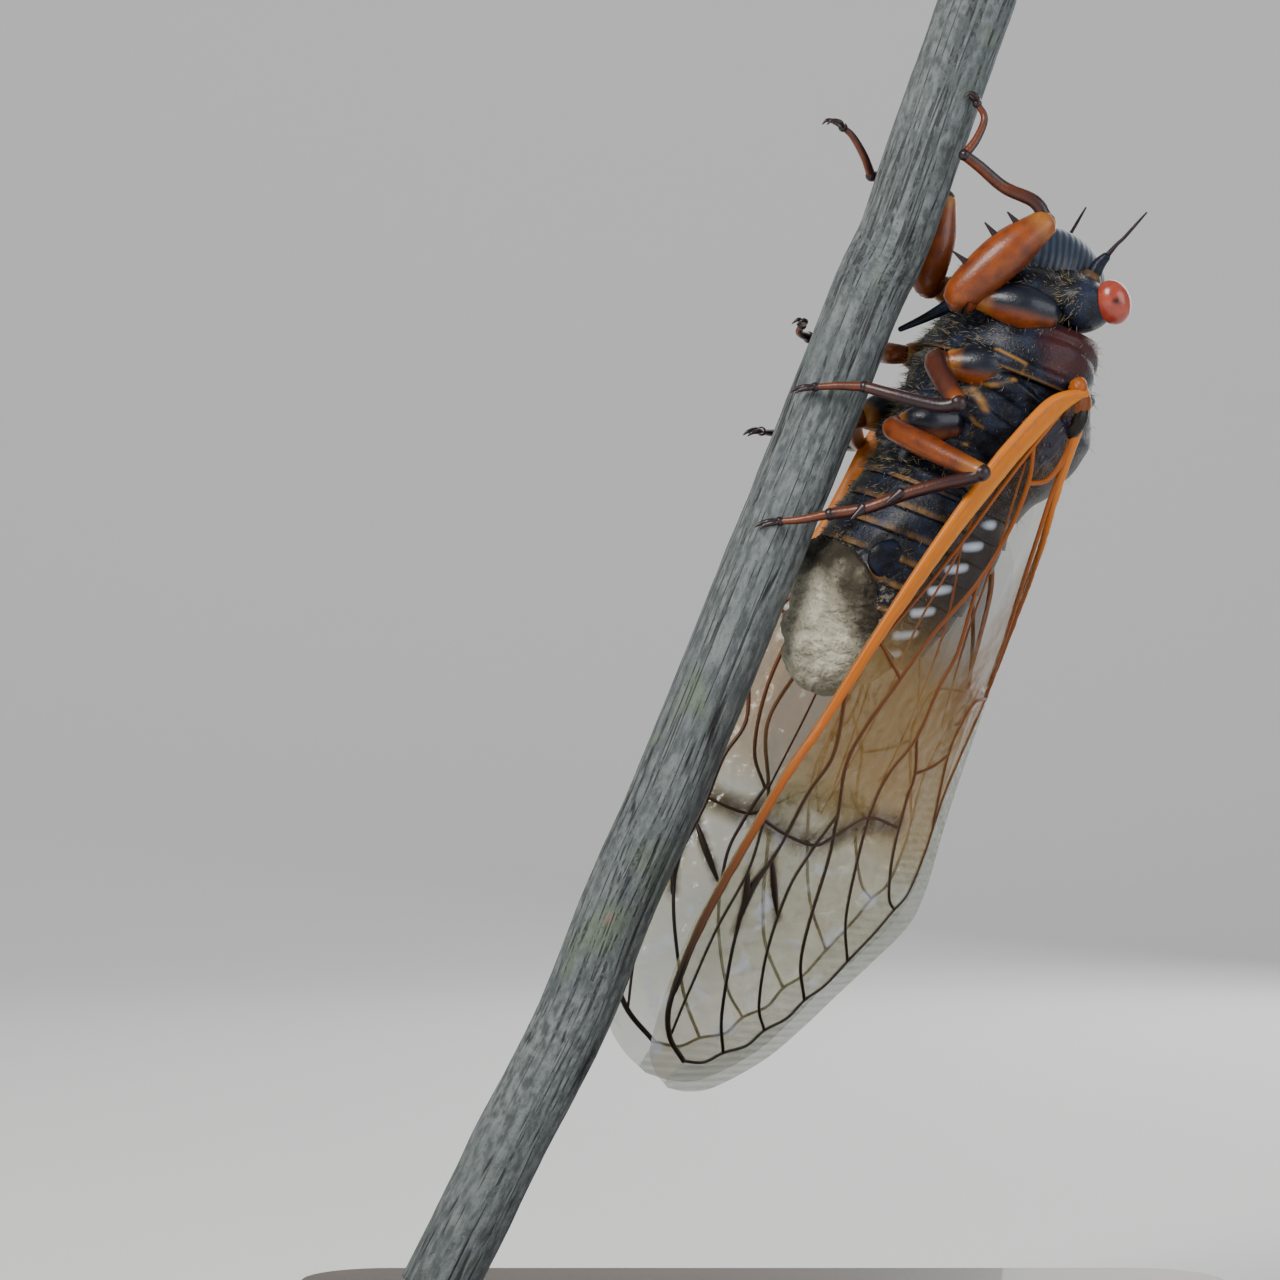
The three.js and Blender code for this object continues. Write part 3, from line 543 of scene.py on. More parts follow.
def pronotum_relief(f, t):
    """A collar roll at the hind edge and two slanting grooves on each flank."""
    collar = 0.1 * np.exp(-(((f + 0.25) / 0.28) ** 2))
    groove = np.exp(-(((f - 1.1 - 0.5 * np.cos(2 * t)) / 0.22) ** 2))
    return collar - 0.12 * groove * (np.sin(t) > -0.6)


def thorax_relief(f, t):
    """Swollen back lobes, a raised cross near the hind edge, and plates with gaps on the flanks."""
    back = np.clip(np.sin(t), 0, 1)
    sideways = np.abs(np.cos(t))
    behind = f + 5.2
    cross = np.exp(-((sideways - 0.25 * np.abs(behind)) / 0.08) ** 2) * np.exp(-((behind / 0.7) ** 2))
    lobe = np.exp(-((sideways - 0.22 - 0.06 * (f + 2)) / 0.03) ** 2) * (f > -4.6)
    wave = (f + 0.55 * np.sin(t) + 0.3 * np.sin(3 * t)) / 1.75
    flank = np.cos(2 * math.pi * wave) * (1 - back)
    dents = lumps(t * 9 / math.pi, f * 1.1, 21, 3, 18) * (1 - back)
    return 0.12 * cross * back - 0.05 * lobe * back + 0.13 * np.tanh(3 * flank) + 0.12 * dents


def ring_stage(f):
    """How far along its own ring of the abdomen a point is, from 0 at the front edge to 1 behind."""
    return ((RING_FIRST - f) / RING_PITCH) % 1


def abdomen_relief(f, t):
    """Overlapping rings: each swells back to an edge and drops sharply to the next."""
    stage = ring_stage(f)
    return 0.13 * stage**1.5 - 0.06 * np.exp(-(((stage - 0.02) / 0.05) ** 2))


def abdomen_end(t):
    """The broken end slants: it stops at f = -10.9 below and runs on to -14.7 above."""
    return -12.75 - 1.95 * np.tanh(1.6 * (np.sin(t) + 0.35))


SEAMS = [
    ([[0.09, 3.51, -2.22], [0.02, 4.01, -1.63], [-0.11, 4.32, -1.04], [-0.55, 4.3, -0.97]], 0.17),
    ([[-0.55, 4.35, -0.97], [-1.15, 4.0, -1.34], [-1.59, 3.6, -2.07], [-1.78, 3.06, -2.73]], 0.2),
    ([[-2.18, 2.92, -2.89], [-1.96, 3.24, -2.53], [-2.22, 3.52, -2.14], [-2.52, 3.8, -1.8]], 0.34),
    ([[-2.63, 3.19, -2.62], [-3.33, 3.65, -1.98], [-3.4, 3.85, -1.65]], 0.16),
    ([[-4.52, 3.0, -2.8], [-3.89, 3.33, -2.4]], 0.12),
    ([[-4.52, 3.33, -2.33], [-4.34, 3.6, -1.95], [-3.59, 3.75, -1.81]], 0.16),
]
# Painted highlights: one pale gloss spot on each ring of the abdomen, in a row down its flank, where the
# sheen catches the light.
PAINTED_HIGHLIGHT_SPOTS = [
    [-7.29, 3.51, 0.5], [-8.45, 3.75, 0.1], [-9.63, 3.7, -0.21], [-10.79, 3.6, -0.53],
    [-11.98, 3.4, -0.84], [-13.2, 3.1, -1.09], [-14.3, 2.7, -1.31],
]


def marked(points, lines):
    """The strongest of several line marks, each mirrored to the other flank."""
    total = np.zeros(points.shape[:-1])
    for line, width in lines:
        for s in (1, -1):
            total = np.maximum(total, near_line(points, flipped(line, s), width))
    return total


def low_down(grid, middle=0.45, slope=0.2, least=0):
    """More down towards the belly: middle - slope u, kept between least and 1."""
    return np.clip(middle - slope * grid[..., 2], least, 1)


pro = trunk(PRONOTUM, 90, 200, pronotum_relief)
tho = trunk(THORAX, 170, 240, thorax_relief)
abd = trunk(ABDOMEN, 260, 220, abdomen_relief, abdomen_end)
cheek_patch = ([[1.5, 4.1, 0.3], [1.9, 3.4, 1.9]], 1.5)
flank_patch = ([[0.4, 4.4, 0.4], [0.9, 4.0, 1.8]], 1.0)
pro_rust = marked(pro, [cheek_patch, flank_patch]) ** 0.7
pro_seam = np.maximum(marked(pro, SEAMS[:1]), 0.35 * np.exp(-(((pro[..., 0] + 0.55) / 0.07) ** 2)))
tho_rust = 0.8 * near_line(tho, [[-0.6, 4.2, 2.2], [-2.6, 4.1, 2.0]], 1.2)
belly = np.clip((-1.4 - abd[..., 2]) / 1.2, 0, 1)
uneven = np.clip(0.5 + lumps(abd[..., 1] * 1.5 + 8, abd[..., 2] * 1.5 + 12, 31), 0, 1)
abd_seam = np.clip((ring_stage(abd[..., 0]) - 0.7) / 0.15, 0, 1) * belly * 0.45 * uneven
abd_dust = np.clip((abdomen_end(turns(220)) + 1.7 - abd[..., 0]) / 1.5, 0, 1)
abd_dust *= np.clip((-0.6 - abd[..., 2]) / 0.8, 0, 1)
highlight_spots = [([[f - 0.18, l, u - 0.42], [f + 0.18, l, u + 0.42]], 0.27) for f, l, u in PAINTED_HIGHLIGHT_SPOTS]
abd_painted_highlight = marked(abd, highlight_spots) ** 0.6
pro_skin = body_skin(pro, rust=pro_rust, seam=pro_seam, down=low_down(pro))
made("pronotum_shell", [pro_skin], shell, ["pronotum"])
tho_skin = body_skin(tho, seam=marked(tho, SEAMS), rust=tho_rust, down=low_down(tho))
made("thorax_shell", [tho_skin], shell, ["thorax"])
abd_skin = body_skin(abd, seam=abd_seam, shine=abd_painted_highlight, dust=abd_dust, down=low_down(abd))
flap = []
for at, half, bump, seam in (([-10.4, 3.15, -3.1], [0.95, 0.36, 1.1], 0.02, 0),
                             ([-10.95, 3.0, -3.0], [0.6, 0.4, 0.8], 0.04, 0.45)):
    flap += [body_skin(flipped(ball(at, half, 30, 40, bump), s), seam=seam) for s in (1, -1)]
made("abdomen_shell", [abd_skin] + flap, shell, ["abdomen"])

# %% [markdown]
# The head is wide, with a swollen ridged face between the eyes. The ridges
# run across it, so the face is an ellipsoid whose width ripples with height.

# %% Head
CROWN_HALF = 4.35
CROWN_END = 4.33
FACE_AT = np.array([4.1, 0, 0.25])
FACE_HALF = np.array([2.5, 2.15, 2.9])
FACE_RIPPLES = 29


def crown_rings():
    """Ovals across the head from eye to eye, shrinking with (1 - (l / 4.35)^2)^0.3."""
    l = CROWN_END * np.sin(np.linspace(-math.pi / 2, math.pi / 2, 120))[:, None]
    reach = (1 - (l / CROWN_HALF) ** 2) ** 0.3
    a = turns(96)
    f = 3.5 + 1.5 * reach * np.cos(a)
    u = 0.9 + 1.95 * reach * np.sin(a)
    return np.stack(np.broadcast_arrays(f, l + 0 * a, u), -1)


def face_rings():
    """An ellipsoid that ripples sideways and forward 29 times from chin to brow, less at its middle line."""
    a, b, shape = dome(440, 120)
    sideways = np.abs(np.sin(b))
    groove = np.cos(2 * FACE_RIPPLES * a + 0.8 * sideways) * (0.25 + 0.75 * sideways**0.7) * np.cos(a)
    shape[..., :2] *= (1 + 0.0045 * groove)[..., None]
    return FACE_AT + shape * FACE_HALF, 0.5 + 0.5 * groove


def face_skin(tree):
    """Slate-blue, paler along the ridges."""
    blotch = grain(tree, 0.5, 4)
    colour = painted(
        (0.013, 0.019, 0.033),
        (mark(tree, "ridge").step(0.2, 0.9), (0.03, 0.047, 0.085)),
        (blotch.step(0.5, 0.75) * 0.5, (0.006, 0.008, 0.012)))
    return {"Base Color": colour, "Roughness": 0.38 + blotch * 0.2}


face_finish = finish_of("slate face", face_skin, Specular_IOR_Level=0.4, Coat_Weight=0.1)
crown = crown_rings()
cheeks = [ball([3.2, s * 2.2, -0.7], [1.2, 1.5, 2.0], 30, 40, 0.01) for s in (1, -1)]
chin = limb([[3.9, 0, -2.2], [3.4, 0, -2.6], [2.9, 0, -3.0]], [1.0, 0.9, 0.7], 24)
neck = limb([[3.6, 0, 0], [3.0, 0, 0], [2.5, 0, 0]], [2.3, 2.3, 2.3], 32)
ocelli = [ball(at, [0.26, 0.26, 0.26], 12, 16) for at in ([4.3, 0, 3.1], [3.6, 0.6, 2.9], [3.6, -0.6, 2.9])]
sockets = [limb(flipped([[4.2, 2.2, 1.1], [4.9, 2.35, 1.3]], s), [0.62, 0.5], 20) for s in (1, -1)]
head_skins = [body_skin(crown, down=np.clip(np.abs(crown[..., 1]) / 4 - 0.4, 0, 1))]
head_skins += [body_skin(g, down=0.7) for g in cheeks]
head_skins += [body_skin(chin), body_skin(neck)]
head_skins += [body_skin(g, seam=0.3, rust=1.0) for g in ocelli]
head_skins += [body_skin(g, seam=0.35) for g in sockets]
made("head_shell", head_skins, shell, ["head"])
face, ridge = face_rings()
made("face_ridges", [body_skin(face, ridge=ridge)], face_finish, ["head"])


# %% Eyes, antennae and beak
def eye_red(tree):
    """Brick-red facets with a painted shade spot in the middle, the dark pseudopupil that an eye shows only
    towards the viewer, and a paler rim.
    """
    colour = painted(
        (0.26, 0.03, 0.016),
        (grain(tree, 0.6, 2).step(0.3, 0.7), (0.36, 0.055, 0.028)),
        # painted shade: the dark pseudopupil
        (mark(tree, "spot"), (0.03, 0.002, 0.002)),
        (mark(tree, "rim"), (0.42, 0.15, 0.03)))
    return {"Base Color": colour, "Roughness": 0.3}


EYE_TILT = math.radians(-51)
EYE_TURN = np.array([
    [math.cos(EYE_TILT), 0, -math.sin(EYE_TILT)], [0, 1, 0], [math.sin(EYE_TILT), 0, math.cos(EYE_TILT)],
])
eye_finish = finish_of("red eye", eye_red, Coat_Weight=0.3)
for side, word in ((1, "left"), (-1, "right")):
    turned = ball([0, 0, 0], [0.8, 0.76, 1.02], 48, 64) @ EYE_TURN
    eye = turned + [4.0, side * 4.15, 1.9]
    # painted shade: the dark pseudopupil, fixed as a spot on the outer face of each eye
    spot = near_line(eye, flipped([[4.05, 4.88, 1.75], [4.0, 4.88, 1.65]], side), 0.27)
    rim = np.clip((3.72 - np.abs(eye[..., 1])) / 0.12, 0, 1)
    made(f"eye_{word}_facets", [body_skin(eye, spot=spot, rim=rim)], eye_finish, [f"eye_{word}"])
    stem = flipped([[4.9, 2.35, 1.3], [5.5, 2.4, 1.35], [6.0, 2.55, 1.5]], side)
    whip = [[6.0, 2.55, 1.5], [6.6, 2.75, 1.65], [7.0, 2.9, 1.8], [7.7, 3.1, 2.0], [8.4, 3.3, 2.2]]
    parts = [body_skin(limb(stem, [0.36, 0.3, 0.2], 24)),
             body_skin(limb(flipped(whip, side), [0.13, 0.09, 0.08, 0.07, 0.04], 16), rust=0.4)]
    made(f"antenna_{word}_whip", parts, shell, [f"antenna_{word}"])
beak = limb([[2.6, 0, -3.1], [1.9, 0, -3.3], [0.6, 0, -4.4], [-0.5, 0, -5.5]], [0.5, 0.38, 0.22, 0.12], 24)
made("beak", [body_skin(beak)], shell, ["rostrum"])

# %% [markdown]
# The end of the abdomen is gone and a chalky plug of fungus spores fills it.
# It is a blunt lump with a crumbly surface, cream with grey specks.

# %% Spore plug
PLUG = [
    [-10.2, 1.2, -4.1, -4.9, -4.5], [-10.8, 2.6, -3.3, -5.3, -4.3], [-11.6, 3.4, -2.5, -5.45, -4.0],
    [-12.6, 3.5, -1.6, -5.5, -3.5], [-13.6, 3.2, -0.8, -5.4, -3.1], [-14.6, 2.9, -0.2, -5.3, -2.8],
    [-15.4, 2.5, -0.4, -5.1, -2.8], [-16.2, 1.9, -1.2, -4.7, -2.9], [-16.8, 1.2, -2.0, -4.1, -3.0],
    [-17.1, 0.6, -2.6, -3.5, -3.05],
]


def crumbs(f, t):
    """Two sizes of random lumps."""
    cell = t * 12 / (2 * math.pi)
    return 0.12 * lumps(cell, f * 1.3, 11, 4, 12) + 0.05 * lumps(cell * 3, f * 5, 12, 3, 36)


def chalk(tree):
    """Cream chalk, greyer and specked where the shell ends."""
    specks = grain(tree, 0.16, 5)
    broad = grain(tree, 1.1, 4)
    top = mark(tree, "top")
    colour = painted(
        (0.3, 0.28, 0.21),
        (broad.step(0.35, 0.7), (0.56, 0.52, 0.41)),
        (specks.step(0.54, 0.64) * (0.35 + top * 0.65), (0.09, 0.08, 0.07)),
        (top * broad.step(0.15, 0.5), (0.045, 0.036, 0.022)))
    return {"Base Color": colour, "Roughness": 0.95, "Normal": bumped(tree, specks + broad, 0.12)}


plug = trunk(PLUG, 160, 180, crumbs)
plug_top = np.clip((plug[..., 0] - abdomen_end(turns(180)) + 1.3) / 1.1, 0, 1)
chalk_finish = finish_of("spore chalk", chalk)
made("spore_chalk", [body_skin(plug, top=plug_top)], chalk_finish, ["spore_plug"])

# %% [markdown]
# Each wing is a clear sheet stiffened by veins. Both lie on one curved roof:
# a plane that leans in over the back, rolls over towards the ridge near the
# body and droops at the tip. A point on it is p mm along and q mm across.

# %% Wing roof
HINGE = np.array([0, 5.0, 2.0])
ALONG = np.array([-0.98526, -0.00324, -0.17102])
ACROSS = np.array([-0.15318, -0.42819, 0.89061])
OUTWARD = np.array([-0.07612, 0.90368, 0.42138])
TIP_DROOP = 2.2
WING_LENGTH = 35
ROOF_CURVE = 0.15


def roof(p, q, inset=0.0):
    """Hinge + p along + q across; past q = 0.08 p the sheet rolls on an arc, and it droops as (p / 35)^4."""
    p, q = np.broadcast_arrays(np.asarray(p, float), np.asarray(q, float))
    droop = TIP_DROOP * (np.clip(p, 0, None) / WING_LENGTH) ** 4
    curve = ROOF_CURVE * np.clip((24 - p) / 16, 1e-4, 1)
    start = 0.08 * p
    past = np.clip(q - start, 0, None)
    run = np.minimum(q, start) + np.sin(curve * past) / curve
    fall = (1 - np.cos(curve * past)) / curve
    out = -fall - droop - inset
    return HINGE + p[..., None] * ALONG + run[..., None] * ACROSS + out[..., None] * OUTWARD


def roof_normal(p, q):
    """The outward direction: the cross product of small steps along p and q."""
    e = 0.02
    dp = roof(p + e, q) - roof(p - e, q)
    dq = roof(p, q + e) - roof(p, q - e)
    n = np.cross(dq, dp)
    n *= np.sign(n @ OUTWARD)[..., None]
    return n / np.linalg.norm(n, axis=-1, keepdims=True)


print("wing tip at", roof(36.2, 2.4).round(2), "mm")

# %% Wing outlines and veins
FORE_FRONT = np.array([
    [0, -0.3], [1.6, -1.9], [4.1, -2.8], [5.9, -3.2], [10.2, -3.7], [14.9, -4.0], [19.2, -4.0],
    [22.2, -4.1], [27.2, -3.6], [30.1, -3.0], [32.8, -1.8], [35.0, -0.4], [35.9, 0.9], [36.3, 2.4],
])
FORE_BACK = np.array([
    [0, 0.6], [1, 0.8], [2.6, 1.3], [4.2, 2.0], [5.6, 3.1], [6.8, 4.5], [8, 5.7], [10, 6.4],
    [12, 6.7], [14, 7.0], [16, 7.3], [18, 7.6], [20, 8.0], [22.5, 8.6], [24.7, 8.6], [26.5, 8.1],
    [28.8, 7.4], [30.8, 6.9], [33.0, 6.2], [35.2, 4.8], [36.0, 3.6], [36.3, 2.4],
])
HIND_FRONT = np.array([
    [3.4, -0.9], [6, -2.1], [10, -2.6], [14, -2.6], [18, -2.2], [21, -1.2], [22.4, 0.2], [22.9, 1.4],
])
HIND_BACK = np.array([
    [3.4, 0.4], [4, 1.0], [6, 2.8], [8.5, 3.9], [11, 4.3], [13.5, 4.6], [16.5, 5.3], [19.5, 5.0],
    [21.6, 3.6], [22.9, 1.4],
])
FORE_VEINS = [
    (0.23, 0.12, [
        [0.3, -0.1], [1.6, -1.75], [4.1, -2.62], [5.9, -3.0], [10.2, -3.5], [14.9, -3.75], [19.2, -3.75],
        [22.2, -3.85], [27.2, -3.3], [30.1, -2.6], [32.8, -1.35], [34.2, 0.1], [34.9, 2.0]]),
    (0.076, 0.064, [
        [34.9, 2.0], [34.5, 3.1], [33.7, 3.7], [32.9, 4.6], [31.9, 4.9], [30.9, 5.6], [29.8, 5.8],
        [28.8, 6.3], [27.3, 6.6], [25.5, 7.0], [24.2, 7.2], [23.2, 7.5], [21.4, 7.3], [20.2, 7.0],
        [18.2, 6.5], [16, 6.4], [13.8, 6.5]]),
    (0.11, 0.08, [
        [1.2, -0.75], [3.6, -1.25], [5.9, -1.65], [8.1, -1.95], [10, -2.25], [12.2, -2.7], [14.7, -3.3]]),
    (0.11, 0.08, [
        [3.6, -1.3], [5.1, -0.3], [7.3, 0.2], [10, 0.2], [13.1, -0.6], [15.5, -0.9], [19.4, -1.1],
        [22, 0.4], [23.8, 1.5], [26.7, 2.9], [28.5, 4.1], [29.8, 5.8]]),
    (0.13, 0.12, [[1.0, 0.0], [3, 0.9], [4.4, 0.7], [5.1, -0.3]]),
    (0.091, 0.072, [
        [10, 0.2], [11.4, 0.8], [13.2, 1.5], [14.8, 1.6], [17.2, 2.1], [19.2, 1.8], [20.9, 2.1],
        [23.2, 3.2], [25.7, 4.8], [27.3, 6.6]]),
    (0.084, 0.072, [[17.2, 2.1], [18.6, 3.4], [19.8, 3.9], [22.1, 5.1], [23.8, 6.4], [24.2, 7.2]]),
    (0.12, 0.088, [[0.8, 0.4], [2.6, 0.9], [5.2, 1.7], [8.5, 3.4], [11.4, 5.3], [13.8, 6.5]]),
    (0.084, 0.072, [[13.8, 6.5], [14.4, 5.0], [15.8, 4.8], [17, 5.1], [18.7, 6.1], [20.2, 7.0]]),
    (0.091, 0.08, [[14.7, -3.3], [15.5, -0.9]]),
    (0.099, 0.08, [
        [17.3, -3.5], [19.9, -2.0], [22, -2.0], [24.5, -1.6], [27, -1.4], [28.5, -0.8], [30.2, 0.3],
        [32.4, 2.1], [33.7, 3.7]]),
    (0.076, 0.064, [[24, -3.4], [26.2, -2.4], [29.2, -1.8], [32.2, -0.7], [34.2, 0.2]]),
    (0.084, 0.072, [[22, 0.4], [24.1, 0.3], [26, 0.5], [28.7, 1.7], [31, 3.5], [31.9, 4.9]]),
    (0.076, 0.072, [[24, -3.4], [24, -1.6], [23.7, 0.3], [22.8, 1.1], [21.4, 2.2], [21, 4.4]]),
    (0.076, 0.072, [[18.6, 3.4], [17.8, 4.4], [17.0, 5.1]]),
]
DARK_STROKES = [
    (0.2, 0.13, [[26.2, -2.4], [27.3, -1.5], [28.6, -0.75]]),
    (0.2, 0.2, [[28.7, -0.8], [27.45, -1.35], [26.5, -1.6], [25.2, -1.5]]),
    (0.2, 0.13, [[25.2, -1.6], [26.3, -0.3], [27.3, 1.0]]),
]
COSTA = np.array([
    [0.2, -0.05, 0.35], [1.6, -1.25, 0.55], [4.1, -2.15, 0.6], [5.9, -2.55, 0.58], [8.5, -3.0, 0.5],
    [11, -3.3, 0.42], [14.9, -3.6, 0.28], [19.2, -3.7, 0.2], [22.2, -3.8, 0.17], [27.2, -3.25, 0.14],
    [30.1, -2.55, 0.12], [32.8, -1.3, 0.1],
])
COSTA_FAR = COSTA.copy()
COSTA_FAR[1:5] += [[0, -0.2, 0.1], [0, -0.5, 0.3], [0, -0.5, 0.3], [0, -0.2, 0.1]]
CLAVUS = np.array([
    [0.5, 0.25, 0.2], [1.8, 0.8, 0.3], [3.4, 1.35, 0.28], [5.2, 2.2, 0.26], [7.0, 3.5, 0.22],
    [9.0, 4.9, 0.14], [11.4, 5.7, 0.07], [13.8, 6.3, 0.05],
])
HIND_VEINS = [
    (0.12, 0.08, [[3.6, -0.7], [6, -1.75], [10, -2.25], [14, -2.25], [18, -1.9], [21, -0.9], [22.3, 0.4]]),
    (0.055, 0.05, [[6, -1.75], [9, -0.8], [13, -0.6], [17, 0.2], [22.3, 0.6]]),
    (0.055, 0.05, [[9, -0.8], [12, 0.9], [16, 2.2], [21.5, 3.3]]),
    (0.055, 0.05, [[4.2, 0], [8, 1.4], [12, 2.8], [16, 4.9]]),
]
MEMBRANE = 0.05
HIND_INSET = 1.05
DUSK = [[24, -3.2], [23.9, -1.7], [23.7, 0.2], [22.8, 1.2], [21.5, 2.3], [21, 4.2]]
MARGIN = np.array(FORE_VEINS[1][2])[::-1]
BROAD_VEIN = 0.22
FILM_MARKS = ("dusk", "border", "rib", "cell", "fore", "veil", "lobe")
KNUCKLES = [
    ([-0.9, 4.4, 1.9], [0.9, 0.75, 0.7], 0.3), ([-0.2, 4.9, 1.5], [0.5, 0.45, 0.4], 0.15),
    ([-1.5, 4.7, 2.1], [0.9, 0.5, 0.45], 0.9),
]
WINGS = [
    ("forewing", FORE_FRONT, FORE_BACK, FORE_VEINS, 0.0),
    ("hindwing", HIND_FRONT, HIND_BACK, HIND_VEINS, HIND_INSET),
]
FINE_STOPS = [
    (0.0, (0.42, 0.1, 0.004)), (0.25, (0.2, 0.05, 0.005)), (0.5, (0.11, 0.03, 0.006)),
    (0.66, (0.025, 0.01, 0.005)), (0.85, (0.008, 0.004, 0.003)),
]
BROAD_STOPS = [
    (0.0, (0.55, 0.15, 0.003)), (0.25, (0.5, 0.14, 0.002)), (0.55, (0.38, 0.09, 0.003)),
    (0.75, (0.1, 0.03, 0.006)), (0.9, (0.012, 0.006, 0.004)),
]


def sheet_rings(front, back, inset, side, thick, along=260, across=100):
    """Rings down one face and back up the other, between the outlines at each p; one face if not thick."""
    low, high = front[0, 0], front[-1, 0]
    s = np.linspace(0, 1, along)
    p = (low + (high - low) * np.sin(s * math.pi / 2) ** 0.9)[:, None]
    f = smooth_line(front, 400)
    b = smooth_line(back, 400)
    q0 = np.interp(p[:, 0], f[:, 0], f[:, 1])[:, None]
    q1 = np.interp(p[:, 0], b[:, 0], b[:, 1])[:, None]
    q1 = np.maximum(q1, q0 + 0.01)
    t = np.linspace(0, 1, across)[None]
    q = q0 + (q1 - q0) * t
    p = p + 0 * t
    flat = roof(p, q, inset)
    n = roof_normal(p, q)
    if not thick:
        return flipped(flat, side), p, q
    upper = flat + n * MEMBRANE / 2
    lower = (flat - n * MEMBRANE / 2)[:, ::-1]
    rings = flipped(np.concatenate([upper, lower], 1), side)
    return rings, *(np.concatenate([a, a[:, ::-1]], 1) for a in (p, q))


def vein_skins(veins, inset, side, pointed=0.0):
    """Round ribs on the roof along smooth veins, from a root radius to a tip radius, pointed if told."""
    skins = []
    for root, tip, line in veins:
        pq = smooth_line(line, 10 * len(line))
        path = flipped(roof(pq[:, 0], pq[:, 1], inset), side)
        point = np.sin(np.linspace(0.03, math.pi - 0.03, len(path))) ** pointed
        width = np.linspace(root, tip, len(path)) * point
        rings = limb(path, width, 10, up=(0.05, 0.3, 1), smooth=False)
        age = np.concatenate([[pq[0, 0]], pq[:, 0], [pq[-1, 0]]])[:, None] / WING_LENGTH
        skins.append(body_skin(rings, age=age, broad=float(root > BROAD_VEIN)))
    return skins


def strap(band, inset, side, thick, fade=40):
    """A broad vein of flat ovals: w cos t along q and thick sin t outward. Its orange ends at p = fade."""
    fine = smooth_line(band, 160)
    taper = np.sqrt(np.clip(1 - np.abs(np.linspace(-1, 1, len(fine))) ** 14, 0.02, 1))
    t = turns(28)
    p = fine[:, :1] + 0 * t
    q = fine[:, 1:2] + (fine[:, 2] * taper)[:, None] * np.cos(t)
    ripple = 1 + 0.12 * lumps(p * 2.5, q * 5, 41, 3)
    rise = thick * taper[:, None] * np.sin(t) * ripple
    rings = flipped(roof(p, q, inset) + roof_normal(p, q) * rise[..., None], side)
    orange = np.clip((fade - p) / 4, 0, 1)
    return body_skin(rings, age=p / WING_LENGTH, band=np.cos(t) + 0 * p, broad=orange)


def membrane(tree):
    """Film: clear by the body, amber in the middle, paler past the dusky arc with painted glints as pale
    blue-white blotches there, and ribbed along the border.
    """
    p, dusk, rim, rib, cell, fore, veil, lobe = (mark(tree, name) for name in ("p", *FILM_MARKS))
    crinkle = grain(tree, 0.9, 4)
    wave = grain(tree, 3.0, 3)
    middle = p.step(0.34, 0.46) * (1 - p.step(0.6, 0.68)) * fore
    far = p.step(0.62, 0.7) * fore
    # painted glints: pale blotches past the dusky arc that stand for light glancing off the film
    painted_glints = grain(tree, 1.5, 2).step(0.55, 0.68) * far * (1 - rim)
    colour = painted(
        (0.09, 0.05, 0.015),
        (p.step(0.3, 0.45), (0.3, 0.17, 0.04)),
        (p.step(0.55, 0.7), (0.33, 0.29, 0.15)),
        (painted_glints, (0.5, 0.52, 0.56)),
        (veil, (0.2, 0.085, 0.02)),
        (rim, (0.36, 0.37, 0.3)),
        (cell, (0.012, 0.008, 0.02)),
        (dusk, (0.04, 0.018, 0.01)))
    solid = 0.06 + p.step(0.3, 0.5) * 0.08 + middle * 0.27 + dusk * crinkle.step(0.2, 0.6) * 0.7
    solid = solid + wave * 0.04 + cell * 0.8 + rim * 0.14 + far * 0.1 + painted_glints * 0.1 + veil * 0.32
    solid = solid * (1 - lobe * 0.85)
    relief = crinkle * 0.5 + grain(tree, 1.8, 2) * 2.5 + rib * 0.4
    return {"Base Color": colour, "Alpha": solid + rib * 0.09, "Roughness": 0.1 + wave * 0.12,
            "Normal": bumped(tree, relief, 0.35, 0.9)}


def vein_colour(tree):
    """Orange at the root, brown, then almost black at the tip; broad veins have a paler inner band."""
    age = mark(tree, "age")
    streak = grain(tree, 0.25, 5, (0.3, 1, 0.5))
    fine = node(tree, "ShaderNodeValToRGB", {"stops": FINE_STOPS}, {0: age})
    broad = node(tree, "ShaderNodeValToRGB", {"stops": BROAD_STOPS}, {0: age})
    near = 1 - age.step(0.2, 0.45)
    banded = painted(
        broad,
        (mark(tree, "band").step(-0.1, 0.5) * near * 0.45, (0.64, 0.24, 0.006)),
        (streak.step(0.48, 0.66) * near * 0.3, (0.36, 0.09, 0.05)))
    colour = painted(fine, (mark(tree, "broad"), banded))
    return {"Base Color": colour, "Roughness": 0.34 + streak * 0.15}


def between(values, low, high):
    """0 at low, 1 at high and straight between; low may be the larger."""
    return np.clip((values - low) / (high - low), 0, 1)


def fore_marks(p, q):
    """Where the forewing film is smoky, warm, bare, dark or ribbed, by its place on the roof."""
    pq = np.stack([p, q], -1)
    dusk = 0.85 * near_line(pq, DUSK, 0.95) ** 0.7
    for _, _, stroke in DARK_STROKES:
        dusk = np.maximum(dusk, 0.75 * near_line(pq, stroke, 0.45))
    border = ((p > MARGIN[0, 0]) & (q > np.interp(p, MARGIN[:, 0], MARGIN[:, 1]))) * 1.0
    rib = border * (0.5 + 0.5 * np.sin(p * 15 + q * 7))
    cell = np.clip(1 - np.abs(q + 0.25) / 0.85, 0, 1) * np.clip(1 - np.abs(p - 2.9) / 1.9, 0, 1)
    veil = between(q, 2.1, 3.5) * between(p, 5.5, 8) * between(p, 17, 14)
    lobe = ((p < CLAVUS[-1, 0]) & (q > np.interp(p, CLAVUS[:, 0], CLAVUS[:, 1]))) * 1.0
    return dict(zip(FILM_MARKS, (dusk, border, rib, np.clip(cell * 3, 0, 1), 1.0, veil, lobe)))


